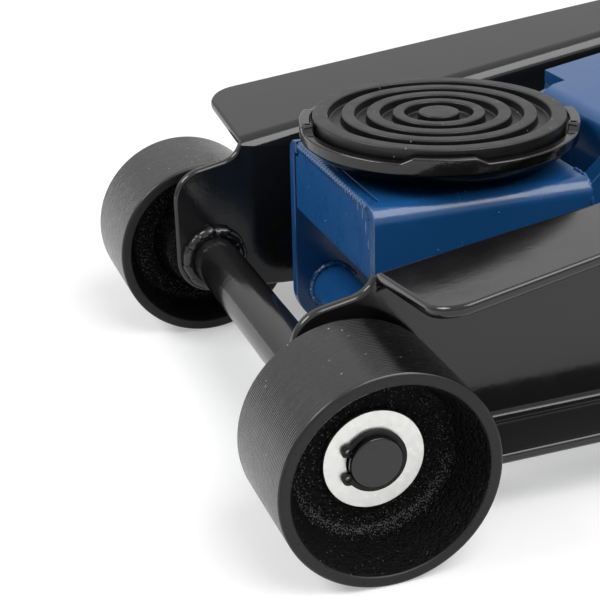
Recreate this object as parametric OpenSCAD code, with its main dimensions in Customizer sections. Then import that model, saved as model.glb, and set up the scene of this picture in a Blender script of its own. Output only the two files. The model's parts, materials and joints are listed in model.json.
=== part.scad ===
// Hydraulic garage jack: X runs to the rear, +Z is up, the jack stands on z = 0.
// Every piece is placed from the front axle (x = 0) and then shifted by mid_x, so that
// the origin is the centre of the jack's outline at floor level.

/* [Frame] */
// Gap between the two side plates
plate_gap = 178.8; // [170:0.2:230]
// Thickness of a side plate
plate_t = 5; // [4:0.5:8]
// Distance from the front axle to the rear end of the side plates
frame_rear = 690; // [684:1:830]
// Rise of the top bend's centre line above the front axle
top_bend_rise = 47.75; // [46:0.25:56]
// Rise of the top flange per millimetre of length
top_rise = 0.166; // [0.1:0.002:0.2]
// Drop of the top flange from its highest point to the rear end
top_drop = 26.4; // [14:0.4:30]
// Distance from the front axle to the highest point of the frame
frame_peak = 470; // [440:1:500]
// Outer radius of the flange bends
bend_r = 9; // [7:0.5:14]
// Upward tilt of the top flange, in degrees
flange_tilt = 7; // [0:1:12]
// Front end of the top flange, from the front axle
flange_front = 17; // [12:1:30]
// Reach of the top flange's front corners beyond the side plate
flange_reach = 61.25; // [56:0.25:70]
// Reach of the rear part of the top flange beyond the side plate
flange_reach_rear = 29.6; // [20:0.2:40]
// Corner radius of the top flange
flange_corner = 13; // [5:1:20]
// Underside of the bottom flange at the front axle
base_z = 22.8; // [20:0.2:28]
// Rise of the bottom flange per millimetre of length
base_rise = 0.026; // [0.02:0.002:0.04]
// Reach of the bottom flange beyond the side plate
base_reach = 29.6; // [20:0.2:36]
// Thickness of the caster plates and of the rear tie plate
caster_plate_t = 5; // [4:0.5:8]

/* [Front wheels] */
// Radius of a front wheel
wheel_r = 45; // [40:1:60]
// Width of a front wheel
wheel_w = 53; // [45:1:65]
// Gap between a side plate and the wheel
wheel_gap = 6.9; // [5:0.1:12]
// Depth of the dish in the outer face
dish_out = 22; // [14:1:26]
// Depth of the dish in the inner face
dish_in = 19; // [12:1:22]
// Radius of the axle journals
journal_r = 11; // [9:0.5:13]
// Radius of the axle between the side plates
axle_r = 11.75; // [11:0.25:16]
// Outer radius of the axle washers
washer_r = 20.75; // [17:0.25:24]

/* [Lift linkage] */
// Distance from the front axle to the arm pivot
pivot_x = 455; // [445:1:462]
// Height of the arm pivot
pivot_z = 125; // [120:1:130]
// Distance from the front axle to the pin in the arm's front end
head_x = 95; // [90:1:100]
// Height of the pin in the arm's front end
head_z = 78; // [74:1:82]
// Link pin ahead of the arm's front pin
link_dx = 45; // [40:1:48]
// Link pin below the arm's front pin
link_dz = 41; // [38:1:44]
// Radius of the arm pivot shaft
pivot_r = 12; // [10:0.5:14]
// Radius of the pin in the arm's front end
head_r = 12; // [10:0.5:13]
// Radius of the cross bar that carries the links
link_bar_r = 11; // [10:0.5:13]
// Radius of the link journals
link_pin_r = 9; // [7:0.5:9.5]
// Thickness of a link
link_t = 6; // [5:0.5:8]
// Lever from the arm pivot to the ram pin
lever_r = 55; // [50:1:60]
// Swing of the lift arm, in degrees
arm_swing = 60; // [40:1:62]
// Half-width over the arm's side plates
arm_half = 56; // [50:1:60]
// Thickness of the arm's plates
arm_t = 6; // [4:0.5:8]

/* [Saddle] */
// Centre of the saddle, from the front axle
saddle_x = 84; // [80:1:88]
// Half-width over the saddle yoke
yoke_half = 56; // [52:1:60]
// Thickness of the yoke's bent plate
yoke_t = 6; // [4:0.5:8]
// Height of the yoke's top face
yoke_top = 115; // [110:1:122]
// Front end of the yoke, from the front axle
yoke_front = 31; // [28:1:34]
// Rear end of the yoke's top plate
yoke_rear = 133; // [125:1:138]
// Outer radius of the saddle rim
cup_r = 63; // [55:1:70]
// Radius of the saddle's foot
cup_foot_r = 45; // [38:1:50]
// Height of the rim above the yoke
cup_h = 16.4; // [14:0.2:24]
// Height of the four tabs above the rim
tab_h = 2.6; // [1:0.2:5]
// Radius of the rubber pad
pad_r = 57; // [45:1:62]
// Thickness of the rubber pad
pad_t = 9.3; // [7:0.1:14]
// Depth of the pad's ring grooves
groove_h = 4.2; // [2:0.2:5]

/* [Hydraulic unit] */
// Height of the ram's axis
ram_z = 73.7; // [72:0.1:76]
// Radius of the piston rod
rod_r = 12; // [9:0.5:13]
// Radius of the piston
piston_r = 18; // [15:0.5:19]
// Outer radius of the ram cylinder
cylinder_r = 24; // [21:0.5:26]
// Outer radius of the oil reservoir
reservoir_r = 32; // [30:0.5:34]
// Distance from the pump block's front face to the rear end of the side plates
block_inset = 90; // [86:1:94]
// Radius of the pump plunger
plunger_r = 7; // [5:0.5:8]
// Wire diameter of the plunger spring
spring_wire = 2.2; // [1.5:0.1:2.6]

/* [Handle] */
// Distance from the handle's pivot to the rear end of the side plates
socket_inset = 62; // [60:1:64]
// Height of the handle's pivot
socket_z = 132; // [130:1:136]
// Lean of the handle at rest, in degrees above the floor
handle_lean = 70; // [60:1:80]
// Stroke of the handle when pumping, in degrees
pump_swing = 50; // [30:1:55]
// Radius of the handle tubes
handle_r = 17; // [14:0.5:18]
// Wall of the handle tubes
handle_wall = 2.5; // [2:0.5:3]
// Length from the pivot to the joint of the two handle tubes
handle_mid = 430; // [350:5:520]
// Length from the pivot to the end of the upper handle tube
handle_end = 880; // [700:5:1100]
// Radius of the rubber grip
grip_r = 20.5; // [19:0.5:24]
// Length of the rubber grip
grip_len = 140; // [100:5:180]

/* [Casters] */
// Radius of a caster wheel
caster_r = 26; // [22:1:28]
// Width of a caster wheel
caster_w = 24; // [18:1:26]
// Distance from a caster's swivel axis to the rear end of the side plates
caster_inset = 50; // [44:1:54]
// Distance of the swivel axis beyond the side plate
caster_out = 27.6; // [25:0.2:30]
// Trail of the caster wheel behind its swivel axis
caster_trail = 22; // [16:1:26]

/* [Fits] */
// Radial clearance of a running shaft
run = 0.06; // [0.02:0.01:0.1]
// Gap between parts that turn or slide past each other
gap = 0.3; // [0.2:0.1:0.5]

/* [Hidden] */
$fn = 96;

plate_in = plate_gap / 2;
plate_out = plate_in + plate_t;
bend_y = plate_in + bend_r;
lobe_r = 19;
top_bend_z = wheel_r + top_bend_rise;
top_fall = top_drop / (frame_rear - frame_peak);
flange_half = plate_out + flange_reach;
flange_half_rear = plate_out + flange_reach_rear;
flange_taper_end = flange_front + 313;
base_half = plate_out + base_reach;
base_front = wheel_r + 4;
block_x = frame_rear - block_inset;
socket_x = frame_rear - socket_inset;
caster_x = frame_rear - caster_inset;
caster_y = plate_out + caster_out;
frame_blue = "#18487f";
enamel_black = "#1a1a1b";
steel_grey = "#8f9296";
zinc = "#c9c9c4";
rubber_black = "#222222";

// handle geometry: the handle points along [cos(lean), 0, sin(lean)]
grip_end = handle_end + 5;
grip_chamfer = 2;
rear_end_x = socket_x + max((grip_end - grip_chamfer) * cos(handle_lean) + grip_r * sin(handle_lean),
    grip_end * cos(handle_lean) + (grip_r - grip_chamfer) * sin(handle_lean));
mid_x = (rear_end_x - wheel_r) / 2;

// ram and lever: the ram pin swings evenly to both sides of the vertical
lever_pin_r = 8;
pin_x = pivot_x + lever_r * sin(arm_swing / 2);
pin_z = pivot_z - lever_r * cos(arm_swing / 2);
pin_low = pivot_z - lever_r;
slot_play = 0.7;
stroke = 2 * lever_r * sin(arm_swing / 2);
eye_half = 17;
eye_t = 12;
lever_in = eye_t + 1;
lever_t = 10;

// links
link_x = head_x - link_dx;
link_z = head_z - link_dz;
anchor_x = pivot_x - link_dx;
anchor_z = pivot_z - link_dz;
link_in = max(yoke_half, arm_half) + 4;
link_out = link_in + link_t;
link_half = 12;

// wheel places along Y
wheel_in = plate_out + wheel_gap;
wheel_out = wheel_in + wheel_w;
hub_in = wheel_in + 3;
hub_out = wheel_out - dish_out;
washer_t = 2;
clip_t = 1.6;
axle_end = hub_out + gap + washer_t + clip_t + 2.2;

// pump
cam_r = 9;
cam_lever = 32;
cam_x = socket_x + cam_lever * cos(pump_swing / 2);
cam_z = socket_z + cam_lever * sin(pump_swing / 2);
plunger_x = socket_x + cam_lever * (1 + cos(pump_swing / 2)) / 2;
plunger_top = cam_z - cam_r - gap;
plunger_stroke = 2 * cam_lever * sin(pump_swing / 2);
plunger_head_t = 4;
block_top = 106;
block_back_top = 88;
block_step = block_x + 41;
block_back = block_x + 76;
block_half = 44;

// handle socket
yoke_arm_out = plate_in - 1.4;
yoke_arm_t = 10;
bridge_u = 40;
bridge_t = 8;
tube_u = bridge_u + bridge_t;
tube_end = 150;
socket_bore = handle_r + 0.4;
socket_r = socket_bore + 4;
socket_bolt_r = 9;
valve_stem_r = 5.5;

caster_z = caster_r;
caster_top = 84;

function arc(cx, cy, r, a0, a1, n = 12) =
    [for (i = [0:n]) let (a = a0 + (a1 - a0) * i / n) [cx + r * cos(a), cy + r * sin(a)]];
function top_line(x) = x <= frame_peak ? top_bend_z + top_rise * x
    : top_bend_z + top_rise * frame_peak - top_fall * (x - frame_peak);
function base_line(x) = base_z + bend_r + base_rise * x;

module placed() translate([-mid_x, 0, 0]) children();
module both_sides() { children(); mirror([0, 1, 0]) children(); }
module rod_y(x, z, r, y0, y1) translate([x, y0, z]) rotate([-90, 0, 0]) cylinder(r = r, h = y1 - y0);
module rod_x(x0, x1, z, r) translate([x0, 0, z]) rotate([0, 90, 0]) cylinder(r = r, h = x1 - x0);
module hex_y(x, z, r, y0, y1) translate([x, y0, z]) rotate([-90, 0, 0]) cylinder(r = r, h = y1 - y0, $fn = 6);
module disc(x, z, r) translate([x, z]) circle(r = r);
// a plate whose outline is drawn in X and Z
module slab_y(y0, y1) translate([0, y1, 0]) rotate([90, 0, 0]) linear_extrude(y1 - y0) children();
// a straight bar between two eyes, drawn in X and Z; it runs on a little into each eye
module bar2d(x0, z0, x1, z1, half, over = 0) {
    ang = atan2(z1 - z0, x1 - x0);
    length = norm([x1 - x0, z1 - z0]);
    translate([x0, z0]) rotate(ang) translate([-over, -half]) square([length + 2 * over, 2 * half]);
}
// an external retaining ring round a shaft, its gap towards -X, with two holed lugs
module retaining_ring(shaft_r, t) {
    lug_a = 28;
    lug_r = 2.9;
    difference() {
        union() {
            cylinder(r = shaft_r + 2, h = t);
            for (s = [-1, 1])
                rotate([0, 0, 180 + s * lug_a]) translate([shaft_r + 1.1, 0, 0]) cylinder(r = lug_r, h = t);
        }
        translate([0, 0, -1]) cylinder(r = shaft_r - 0.6, h = t + 2);
        translate([-shaft_r - 3, 0, -1]) linear_extrude(t + 2)
            polygon([[-9, -6.2], [5, -3.2], [5, 3.2], [-9, 6.2]]);
        for (s = [-1, 1])
            rotate([0, 0, 180 + s * lug_a]) translate([shaft_r + 1.4, 0, -1]) cylinder(r = 1.25, h = t + 2);
    }
}
module ring_y(x, z, shaft_r, y, t) translate([x, y, z]) rotate([-90, 0, 0]) retaining_ring(shaft_r, t);

// ---------------------------------------------------------------- frame

// section of the top flange and its bend, in Y and the direction square to the run
module top_section() {
    c = bend_y;
    inner = bend_r - plate_t;
    reach = 90;
    up = 90 + flange_tilt;
    dir = [cos(flange_tilt), sin(flange_tilt)];
    a = [c + bend_r * cos(up), bend_r * sin(up)];
    b = [c + inner * cos(up), inner * sin(up)];
    polygon(concat([[plate_in, -8]], arc(c, 0, bend_r, 180, up, 14), [a + reach * dir, b + reach * dir],
        arc(c, 0, inner, up, 180, 10), [[plate_out, -8]]));
}
module base_section() {
    inner = bend_r - plate_t;
    polygon(concat([[plate_in, 1]], arc(bend_y, 0, bend_r, 180, 270, 14),
        [[base_half, -bend_r], [base_half, -inner]], arc(bend_y, 0, inner, 270, 180, 10), [[plate_out, 1]]));
}
module along(x0, z0, rise, length)
    translate([x0, 0, z0]) rotate([0, -atan(rise), 0]) rotate([90, 0, 90]) linear_extrude(length) children();

module flange_plan() {
    rc = flange_corner;
    taper = (flange_half - flange_half_rear) / (flange_taper_end - flange_front - rc);
    polygon(concat([[flange_front, plate_in - 1]],
        arc(flange_front + rc, flange_half - rc, rc, 180, 90 - atan(taper), 10),
        [[flange_taper_end, flange_half_rear], [frame_rear - rc, flange_half_rear]],
        arc(frame_rear - rc, flange_half_rear - rc, rc, 90, 0, 10), [[frame_rear, plate_in - 1]]));
}
module web_outline() {
    lobe_top = wheel_r + 30.5;
    lobe_top_r = 17;
    shoulder = lobe_top + lobe_top_r * sin(102) + 0.21 * (flange_front + lobe_r - lobe_top_r * (1 + cos(102)));
    // hollow corner between the lobe's top line and the front end of the top flange
    neck_r = 12;
    neck_z = shoulder + neck_r * (1 / cos(atan(0.21)) - 0.21);
    // the web stops short of the bends and their own straight ends overlap it
    lap_top = 4;
    lap_base = 0.5;
    difference() {
        polygon(concat(arc(0, wheel_r, lobe_r, 270, 180, 20),
            arc(lobe_top_r - lobe_r, lobe_top, lobe_top_r, 180, 102, 18),
            arc(flange_front - neck_r, neck_z, neck_r, 270 + atan(0.21), 340, 8),
            [[flange_front, neck_z + neck_r * sin(340)], [flange_front, top_line(flange_front) - lap_top],
            [frame_peak, top_line(frame_peak) - lap_top], [frame_rear, top_line(frame_rear) - lap_top],
            [frame_rear, caster_top], [base_rear + 38, caster_top],
            [base_rear, base_line(base_rear) + lap_base], [base_front, base_line(base_front) + lap_base],
            [base_front, base_z + base_rise * base_front]]));
        disc(0, wheel_r, journal_r + 0.02);
        disc(pivot_x, pivot_z, pivot_r + 0.02);
        disc(anchor_x, anchor_z, 8.02);
        disc(tie_x, tie_z, tie_r + 0.02);
        disc(socket_x, socket_z, socket_bolt_r + 0.02);
        for (x = unit_bolt_x) disc(x, unit_bolt_z, unit_bolt_r + 0.02);
        for (x = cover_screw_x) disc(x, cover_screw_z, 3.02);
    }
}
base_rear = block_x - 55;
tie_r = 7;
tie_x = pivot_x - 75;
tie_z = base_line(tie_x) + tie_r + 1.5;
unit_bolt_r = 6;
unit_bolt_x = [block_x + 10, block_x + 33];
unit_bolt_z = caster_top + caster_plate_t + 12.5;
cover_front = pivot_x + 50;
cover_back = block_x - 2;
cover_z = 150;
cover_t = 3;
cover_screw_x = [cover_front + 15, cover_back - 15];
cover_screw_z = cover_z - 12;

module side_plate() {
    slab_y(plate_in, plate_out) web_outline();
    intersection() {
        union() {
            intersection() {
                along(0, top_bend_z, top_rise, 2 * frame_peak) top_section();
                translate([-10, 0, 0]) cube([frame_peak + 10, 300, 400]);
            }
            intersection() {
                translate([frame_peak, 0, top_line(frame_peak)]) along(0, 0, -top_fall, 400) top_section();
                translate([frame_peak, 0, 0]) cube([400, 300, 400]);
            }
        }
        linear_extrude(400) flange_plan();
    }
    intersection() {
        along(0, base_z + bend_r, base_rise, 700) base_section();
        translate([base_front, 0, 0]) cube([base_rear - base_front, 300, 200]);
    }
}
module side_plate_right() color(enamel_black) placed() side_plate();
module side_plate_left() color(enamel_black) placed() mirror([0, 1, 0]) side_plate();

module tie_rod() color(enamel_black) placed() rod_y(tie_x, tie_z, tie_r, -plate_out - 1, plate_out + 1);

module rear_crossmember() color(enamel_black) placed()
    translate([frame_rear - 10, -plate_in, caster_top + 4]) cube([8, plate_gap, 24]);

module caster_plates() color(enamel_black) placed() both_sides() difference() {
    translate([0, 0, caster_top]) linear_extrude(caster_plate_t) difference() {
        translate([frame_rear - 92, plate_out]) square([90, 54]);
        translate([frame_rear - 92, plate_out + 54]) rotate([0, 0, 45]) square(20, center = true);
        translate([frame_rear - 2, plate_out + 54]) rotate([0, 0, 45]) square(20, center = true);
    }
    translate([caster_x, caster_y, caster_top - 1]) cylinder(r = 8 + run, h = caster_plate_t + 2);
}

// ---------------------------------------------------------------- front axle and wheels

module front_axle() color(enamel_black) placed() {
    groove_y = axle_end - 2.2 - clip_t;
    difference() {
        union() {
            rod_y(0, wheel_r, axle_r, -plate_in, plate_in);
            rod_y(0, wheel_r, journal_r, -axle_end + 1, axle_end - 1);
            both_sides() translate([0, axle_end - 1, wheel_r]) rotate([-90, 0, 0])
                cylinder(r1 = journal_r, r2 = journal_r - 1, h = 1);
        }
        both_sides() translate([0, groove_y, wheel_r]) rotate([-90, 0, 0]) difference() {
            cylinder(r = journal_r + 1, h = clip_t + 0.1);
            translate([0, 0, -1]) cylinder(r = journal_r - 0.7, h = clip_t + 3);
        }
    }
    // weld fillets where the axle meets the side plates
    both_sides() translate([0, plate_in, wheel_r]) rotate([90, 0, 0])
        cylinder(r1 = axle_r + 6, r2 = axle_r - 0.2, h = 6);
}
module axle_spacers() color(steel_grey) placed() both_sides() difference() {
    rod_y(0, wheel_r, 16, plate_out, hub_in - gap);
    rod_y(0, wheel_r, journal_r + 0.05, plate_out - 1, hub_in);
}
module axle_washers() color(zinc) placed() both_sides() difference() {
    rod_y(0, wheel_r, washer_r, hub_out + gap, hub_out + gap + washer_t);
    rod_y(0, wheel_r, journal_r + 0.3, hub_out, hub_out + gap + washer_t + 1);
}
module axle_circlips() color(rubber_black) placed() both_sides()
    ring_y(0, wheel_r, journal_r, hub_out + gap + washer_t + 0.05, clip_t - 0.05);

function wheel_profile() = let (r = wheel_r, w = wheel_w, wall = 5.4, b = journal_r + run)
    concat([[b, 3], [journal_r + 10, 3], [journal_r + 13, dish_in - 2]],
        arc(journal_r + 16, dish_in - 3, 3, 180, 90, 5),
        arc(r - wall - 8, dish_in - 3, 3, 90, 20, 5),
        [[r - wall, 1], [r - wall + 1, 0]],
        arc(r - 1.5, 1.5, 1.5, -90, 0, 5), arc(r - 1.5, w - 1.5, 1.5, 0, 90, 5),
        [[r - wall + 1, w], [r - wall, w - 1]],
        arc(r - wall - 8.5, w - dish_out + 4, 4, -20, -90, 6), [[b, w - dish_out]]);
module front_wheel() translate([0, wheel_in, wheel_r]) rotate([-90, 0, 0])
    rotate_extrude() polygon(wheel_profile());
module front_wheel_right() color(rubber_black) placed() front_wheel();
module front_wheel_left() color(rubber_black) placed() mirror([0, 1, 0]) front_wheel();

// ---------------------------------------------------------------- lift arm

module arm_pivot_shaft() color(steel_grey) placed()
    rod_y(pivot_x, pivot_z, pivot_r, -plate_out - 14, plate_out + 14);
module arm_pivot_nuts() color(zinc) placed() both_sides() difference() {
    union() {
        hex_y(pivot_x, pivot_z, pivot_r + 8.5, plate_out + 2.5, plate_out + 13);
        rod_y(pivot_x, pivot_z, pivot_r + 10, plate_out, plate_out + 2.5);
    }
    rod_y(pivot_x, pivot_z, pivot_r + 0.03, plate_out - 1, plate_out + 20);
}
module arm_pivot_tube() color(frame_blue) placed() difference() {
    rod_y(pivot_x, pivot_z, pivot_r + 8, -plate_in + 0.4, plate_in - 0.4);
    rod_y(pivot_x, pivot_z, pivot_r + run, -plate_in, plate_in);
}
arm_nose = 165;
arm_mid = 300;
arm_back = pivot_x - 10;
arm_top_z = 133;
arm_mid_z = arm_top_z + 0.18 * (arm_mid - arm_nose);
arm_back_z = arm_mid_z + 3;
arm_low_z = arm_top_z - 7;
function arm_under(x) =
    arm_low_z + (x - arm_nose + 5) * (arm_mid_z - arm_t - arm_low_z) / (arm_mid - arm_nose + 5);
fork_in = 36;
fork_t = 10;
module arm_top_plate() color(frame_blue) placed() difference() {
    slab_y(-arm_half, arm_half) polygon([[arm_nose - 21, 99], [arm_nose - 13, 126],
        [arm_nose - 10.5, 129.7], [arm_nose - 7, 131.7],
        [arm_mid, arm_mid_z], [arm_back, arm_back_z], [arm_back, arm_back_z - arm_t],
        [arm_mid, arm_mid_z - arm_t], [arm_nose - 5, 126], [arm_nose - 7.5, 124], [arm_nose - 15, 97.5]]);
    both_sides() translate([arm_nose - 30, fork_in - 2, 80]) cube([30, 40, 70]);
}
module arm_side_plate() difference() {
    polygon([[arm_nose - 3, 104], [arm_nose + 1, arm_under(arm_nose + 1)], [arm_mid, arm_mid_z - arm_t],
        [arm_back, arm_back_z - arm_t], [pivot_x + 22, pivot_z + 20], [pivot_x + 33, pivot_z],
        [pivot_x + 20, pivot_z - 27], [pivot_x - 15, pivot_z - 32], [arm_mid, 97], [arm_nose + 10, 98]]);
    disc(pivot_x, pivot_z, pivot_r + 8.02);
}
module arm_side_plates() color(frame_blue) placed()
    both_sides() slab_y(arm_half - arm_t, arm_half) arm_side_plate();
module arm_forks() color(frame_blue) placed() both_sides() slab_y(fork_in, fork_in + fork_t) difference() {
    union() {
        disc(head_x, head_z, head_r + 8);
        polygon([[head_x, head_z + head_r + 8], [yoke_rear - 1, yoke_top - yoke_t - 4.5],
            [arm_nose - 23, 114], [arm_nose - 14, 122.6], [arm_nose - 5, 125.9],
            [arm_nose + 65, 138.5], [arm_nose + 65, 100], [arm_nose - 5, 92],
            [head_x, head_z - head_r - 8]]);
    }
    disc(head_x, head_z, head_r + run);
}
module ram_lever() difference() {
    union() {
        disc(pivot_x, pivot_z, pivot_r + 18);
        disc(pin_x, pin_z, lever_pin_r + 8);
        bar2d(pivot_x, pivot_z, pin_x, pin_z, lever_pin_r + 8);
    }
    disc(pivot_x, pivot_z, pivot_r + 8.02);
    disc(pin_x, pin_z, lever_pin_r + 0.02);
}
module ram_levers() color(frame_blue) placed() both_sides() slab_y(lever_in, lever_in + lever_t) ram_lever();
module ram_lever_pin() color(steel_grey) placed()
    rod_y(pin_x, pin_z, lever_pin_r, -lever_in - lever_t - 2, lever_in + lever_t + 2);

// ---------------------------------------------------------------- links

module link_anchor_pins() color(steel_grey) placed() both_sides() {
    rod_y(anchor_x, anchor_z, 14, link_in - 2.6, link_in - gap);
    rod_y(anchor_x, anchor_z, link_pin_r, link_in - 1, link_out + 1);
    rod_y(anchor_x, anchor_z, 14, link_out + gap, plate_in);
    rod_y(anchor_x, anchor_z, 8, plate_in - 1, plate_out + 1.5);
}
module link_bar() slab_y(link_in, link_out) difference() {
    union() {
        disc(link_x, link_z, link_half + 3);
        disc(anchor_x, anchor_z, link_half + 3);
        bar2d(link_x, link_z, anchor_x, anchor_z, link_half, link_half / 2);
    }
    disc(link_x, link_z, link_pin_r + run);
    disc(anchor_x, anchor_z, link_pin_r + run);
}
module link_right() color(enamel_black) placed() link_bar();
module link_left() color(enamel_black) placed() mirror([0, 1, 0]) link_bar();

// ---------------------------------------------------------------- saddle yoke

module yoke_section() {
    ro = 8;
    ri = ro - yoke_t;
    z0 = 10;
    in = yoke_half - yoke_t;
    polygon(concat([[-yoke_half, z0]], arc(-yoke_half + ro, yoke_top - ro, ro, 180, 90, 10),
        arc(yoke_half - ro, yoke_top - ro, ro, 90, 0, 10), [[yoke_half, z0], [in, z0]],
        arc(in - ri, yoke_top - yoke_t - ri, ri, 0, 90, 5),
        arc(-in + ri, yoke_top - yoke_t - ri, ri, 90, 180, 5), [[-in, z0]]));
}
module yoke_wall() {
    ear = link_x - yoke_front;
    polygon(concat(arc(link_x, link_z, ear, 270, 180, 16), [[yoke_front, yoke_top + 1],
        [yoke_rear, yoke_top + 1], [yoke_rear, head_z - 14], [head_x + 22, link_z + 9],
        [link_x + 9, link_z - ear + 1.5]]));
}
module saddle_yoke() color(frame_blue) placed() difference() {
    intersection() {
        translate([yoke_front, 0, 0]) rotate([90, 0, 90])
            linear_extrude(yoke_rear - yoke_front) yoke_section();
        slab_y(-yoke_half - 1, yoke_half + 1) yoke_wall();
    }
    rod_y(head_x, head_z, head_r + 0.02, -80, 80);
    rod_y(link_x, link_z, link_pin_r + 0.02, -80, 80);
    translate([saddle_x, 0, yoke_top - yoke_t - 1]) cylinder(r = 12 + run, h = yoke_t + 2);
    translate([yoke_front - 1, -seam_half, yoke_top - yoke_t - 1])
        cube([front_plate_in + front_plate_t + 1.1, 2 * seam_half, yoke_t + 2]);
}
front_plate_in = 1;
front_plate_t = 5;
front_plate_low = yoke_top - 34.5;
seam_half = yoke_half - yoke_t - 4;
module yoke_front_plate() color(frame_blue) placed() translate([yoke_front + front_plate_in, 0, 0]) {
    translate([0, -yoke_half + yoke_t, front_plate_low])
        cube([front_plate_t, 2 * (yoke_half - yoke_t), yoke_top - yoke_t - 2.1 - front_plate_low]);
    translate([0, 0.1 - seam_half, front_plate_low + 5])
        cube([front_plate_t, 2 * seam_half - 0.2, yoke_top - 3 - front_plate_low - 5]);
}
module link_cross_bar() color(frame_blue) placed() {
    rod_y(link_x, link_z, link_bar_r, -yoke_half + yoke_t, yoke_half - yoke_t);
    rod_y(link_x, link_z, link_pin_r, -link_out - 4, link_out + 4);
}
module link_bar_clips() color(steel_grey) placed() both_sides() difference() {
    ring_y(link_x, link_z, link_pin_r, link_out + gap, clip_t);
    rod_y(link_x, link_z, link_pin_r + 0.03, link_out, link_out + 5);
}
module arm_front_pin() color(steel_grey) placed()
    rod_y(head_x, head_z, head_r, -yoke_half - 3.4, yoke_half + 3.4);
module arm_front_clips() color(steel_grey) placed() both_sides() difference() {
    ring_y(head_x, head_z, head_r, yoke_half + gap, clip_t);
    rod_y(head_x, head_z, head_r + 0.03, yoke_half, yoke_half + 5);
}

// ---------------------------------------------------------------- saddle

cup_floor = yoke_top + 12;
cup_rim = yoke_top + cup_h;
tab_turn = -21;
module saddle_cup() color(enamel_black) placed() translate([saddle_x, 0, 0]) {
    recess = pad_r + 1.2;
    rotate_extrude() polygon(concat([[0, yoke_top - yoke_t - 6], [12, yoke_top - yoke_t - 6],
        [12, yoke_top + 1.2], [cup_foot_r, yoke_top + 1.2], [cup_foot_r + 1, yoke_top + 2.4]],
        [for (i = [1:8]) [cup_foot_r + 1 + (cup_r - cup_foot_r - 2.2) * i / 8,
            yoke_top + 2.4 + 8 * pow(i / 8, 1.8)]],
        arc(cup_r - 1.4, yoke_top + 12.4, 1.4, -30, 0, 3),
        arc(cup_r - 1.2, cup_rim - 1.2, 1.2, 0, 90, 4), [[recess + 0.5, cup_rim],
        [recess, cup_rim - 0.5], [recess, cup_floor], [0, cup_floor]]));
    difference() {
        intersection() {
            union() for (k = [0:3]) rotate([0, 0, tab_turn + 90 * k]) translate([recess - 3, 0, cup_rim - 1.2])
                rotate([90, 0, 90]) linear_extrude(12)
                    polygon([[-18.5, 0], [18.5, 0], [13, tab_h + 1.2], [-13, tab_h + 1.2]]);
            translate([0, 0, cup_rim - 2]) difference() {
                cylinder(r = cup_r, h = 10);
                translate([0, 0, -1]) cylinder(r = recess, h = 12);
            }
        }
        for (a = [tab_turn - 15, tab_turn + 180 + 13]) rotate([0, 0, a])
            translate([cup_r - 2.6, 0, cup_rim + tab_h - 1.1 + 2]) cube([3.4, 5, 4], center = true);
    }
}
// ring ridges of the pad, from the middle outwards
ridges = [[0, 0.163], [0.272, 0.365], [0.465, 0.572], [0.667, 0.772], [0.877, 1]];
module saddle_pad() color(rubber_black) placed() translate([saddle_x, 0, 0]) {
    top = cup_floor + pad_t;
    low = top - groove_h;
    c = 1.1;
    rotate_extrude() polygon(concat([[0, cup_floor]], [[0, top]],
        [for (q = ridges) for (p = concat(q[0] == 0 ? [] : concat([[q[0] * pad_r, low]],
            arc(q[0] * pad_r + c, top - c, c, 180, 90, 4)),
            arc(q[1] * pad_r - c, top - c, c, 90, 0, 4), q[1] == 1 ? [] : [[q[1] * pad_r, low]])) p],
        [[pad_r, cup_floor]]));
}
module saddle_nut() color(steel_grey) placed() translate([saddle_x, 0, yoke_top - yoke_t - 6]) difference() {
    cylinder(r = 18, h = 6 - gap, $fn = 6);
    translate([0, 0, -1]) cylinder(r = 12.03, h = 8);
}

// ---------------------------------------------------------------- hydraulic unit

gland_front = pin_x + eye_half + 1.3;
gland_back = gland_front + 18;
piston_t = 14;
piston_x = block_x - 2 - piston_t;
block_low = ram_z - reservoir_r - 1;
module pump_block() color("#3a3d40") placed() difference() {
    union() {
        translate([block_x, -block_half, block_low])
            cube([block_step - block_x, 2 * block_half, block_top - block_low]);
        translate([block_step - 1, -40, 46]) cube([block_back - block_step + 1, 80, block_back_top - 46]);
        for (x = unit_bolt_x) both_sides() rod_y(x, unit_bolt_z, 10, block_half - 4, plate_in - 0.1);
    }
    for (x = unit_bolt_x) both_sides() rod_y(x, unit_bolt_z, unit_bolt_r, plate_in - 32, plate_in + 1);
    translate([plunger_x, 0, block_back_top - 38]) cylinder(r = plunger_r + run, h = 60);
    in_handle() translate([0, 0, -56]) cylinder(r = valve_stem_r + run, h = 50);
    translate([block_step - 12, -50, ram_z - 15]) rotate([-90, 0, 0]) cylinder(r = 6.02, h = 20);
}
module ram_cylinder() color(steel_grey) placed() difference() {
    rod_x(gland_front + 4, block_x, ram_z, cylinder_r);
    rod_x(gland_front, block_x + 1, ram_z, piston_r + run);
}
module reservoir_tube() color(enamel_black) placed() difference() {
    rod_x(gland_front + 11, block_x, ram_z, reservoir_r);
    rod_x(gland_front + 16, block_x + 1, ram_z, reservoir_r - 2.5);
    rod_x(gland_front, block_x, ram_z, cylinder_r + 0.02);
    translate([block_x - 38, 0, ram_z]) cylinder(r = 6.02, h = 60);
}
module gland_nut() color(zinc) placed() difference() {
    union() {
        rod_x(gland_front, gland_front + 4, ram_z, cylinder_r - 1);
        rod_x(gland_front + 3, gland_back, ram_z, piston_r + run - 0.02);
    }
    rod_x(gland_front - 1, gland_back + 1, ram_z, rod_r + run);
    for (a = [0:60:300]) translate([gland_front - 1, 0, ram_z]) rotate([a, 0, 0])
        translate([0, (cylinder_r + rod_r) / 2, 0]) rotate([0, 90, 0]) cylinder(r = 2.2, h = 4);
}
module filler_plug() color(rubber_black) placed() translate([block_x - 38, 0, ram_z]) {
    translate([0, 0, reservoir_r - 4.5]) cylinder(r = 6, h = 6);
    translate([0, 0, reservoir_r + 0.3]) cylinder(r = 9, h = 3);
}
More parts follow.
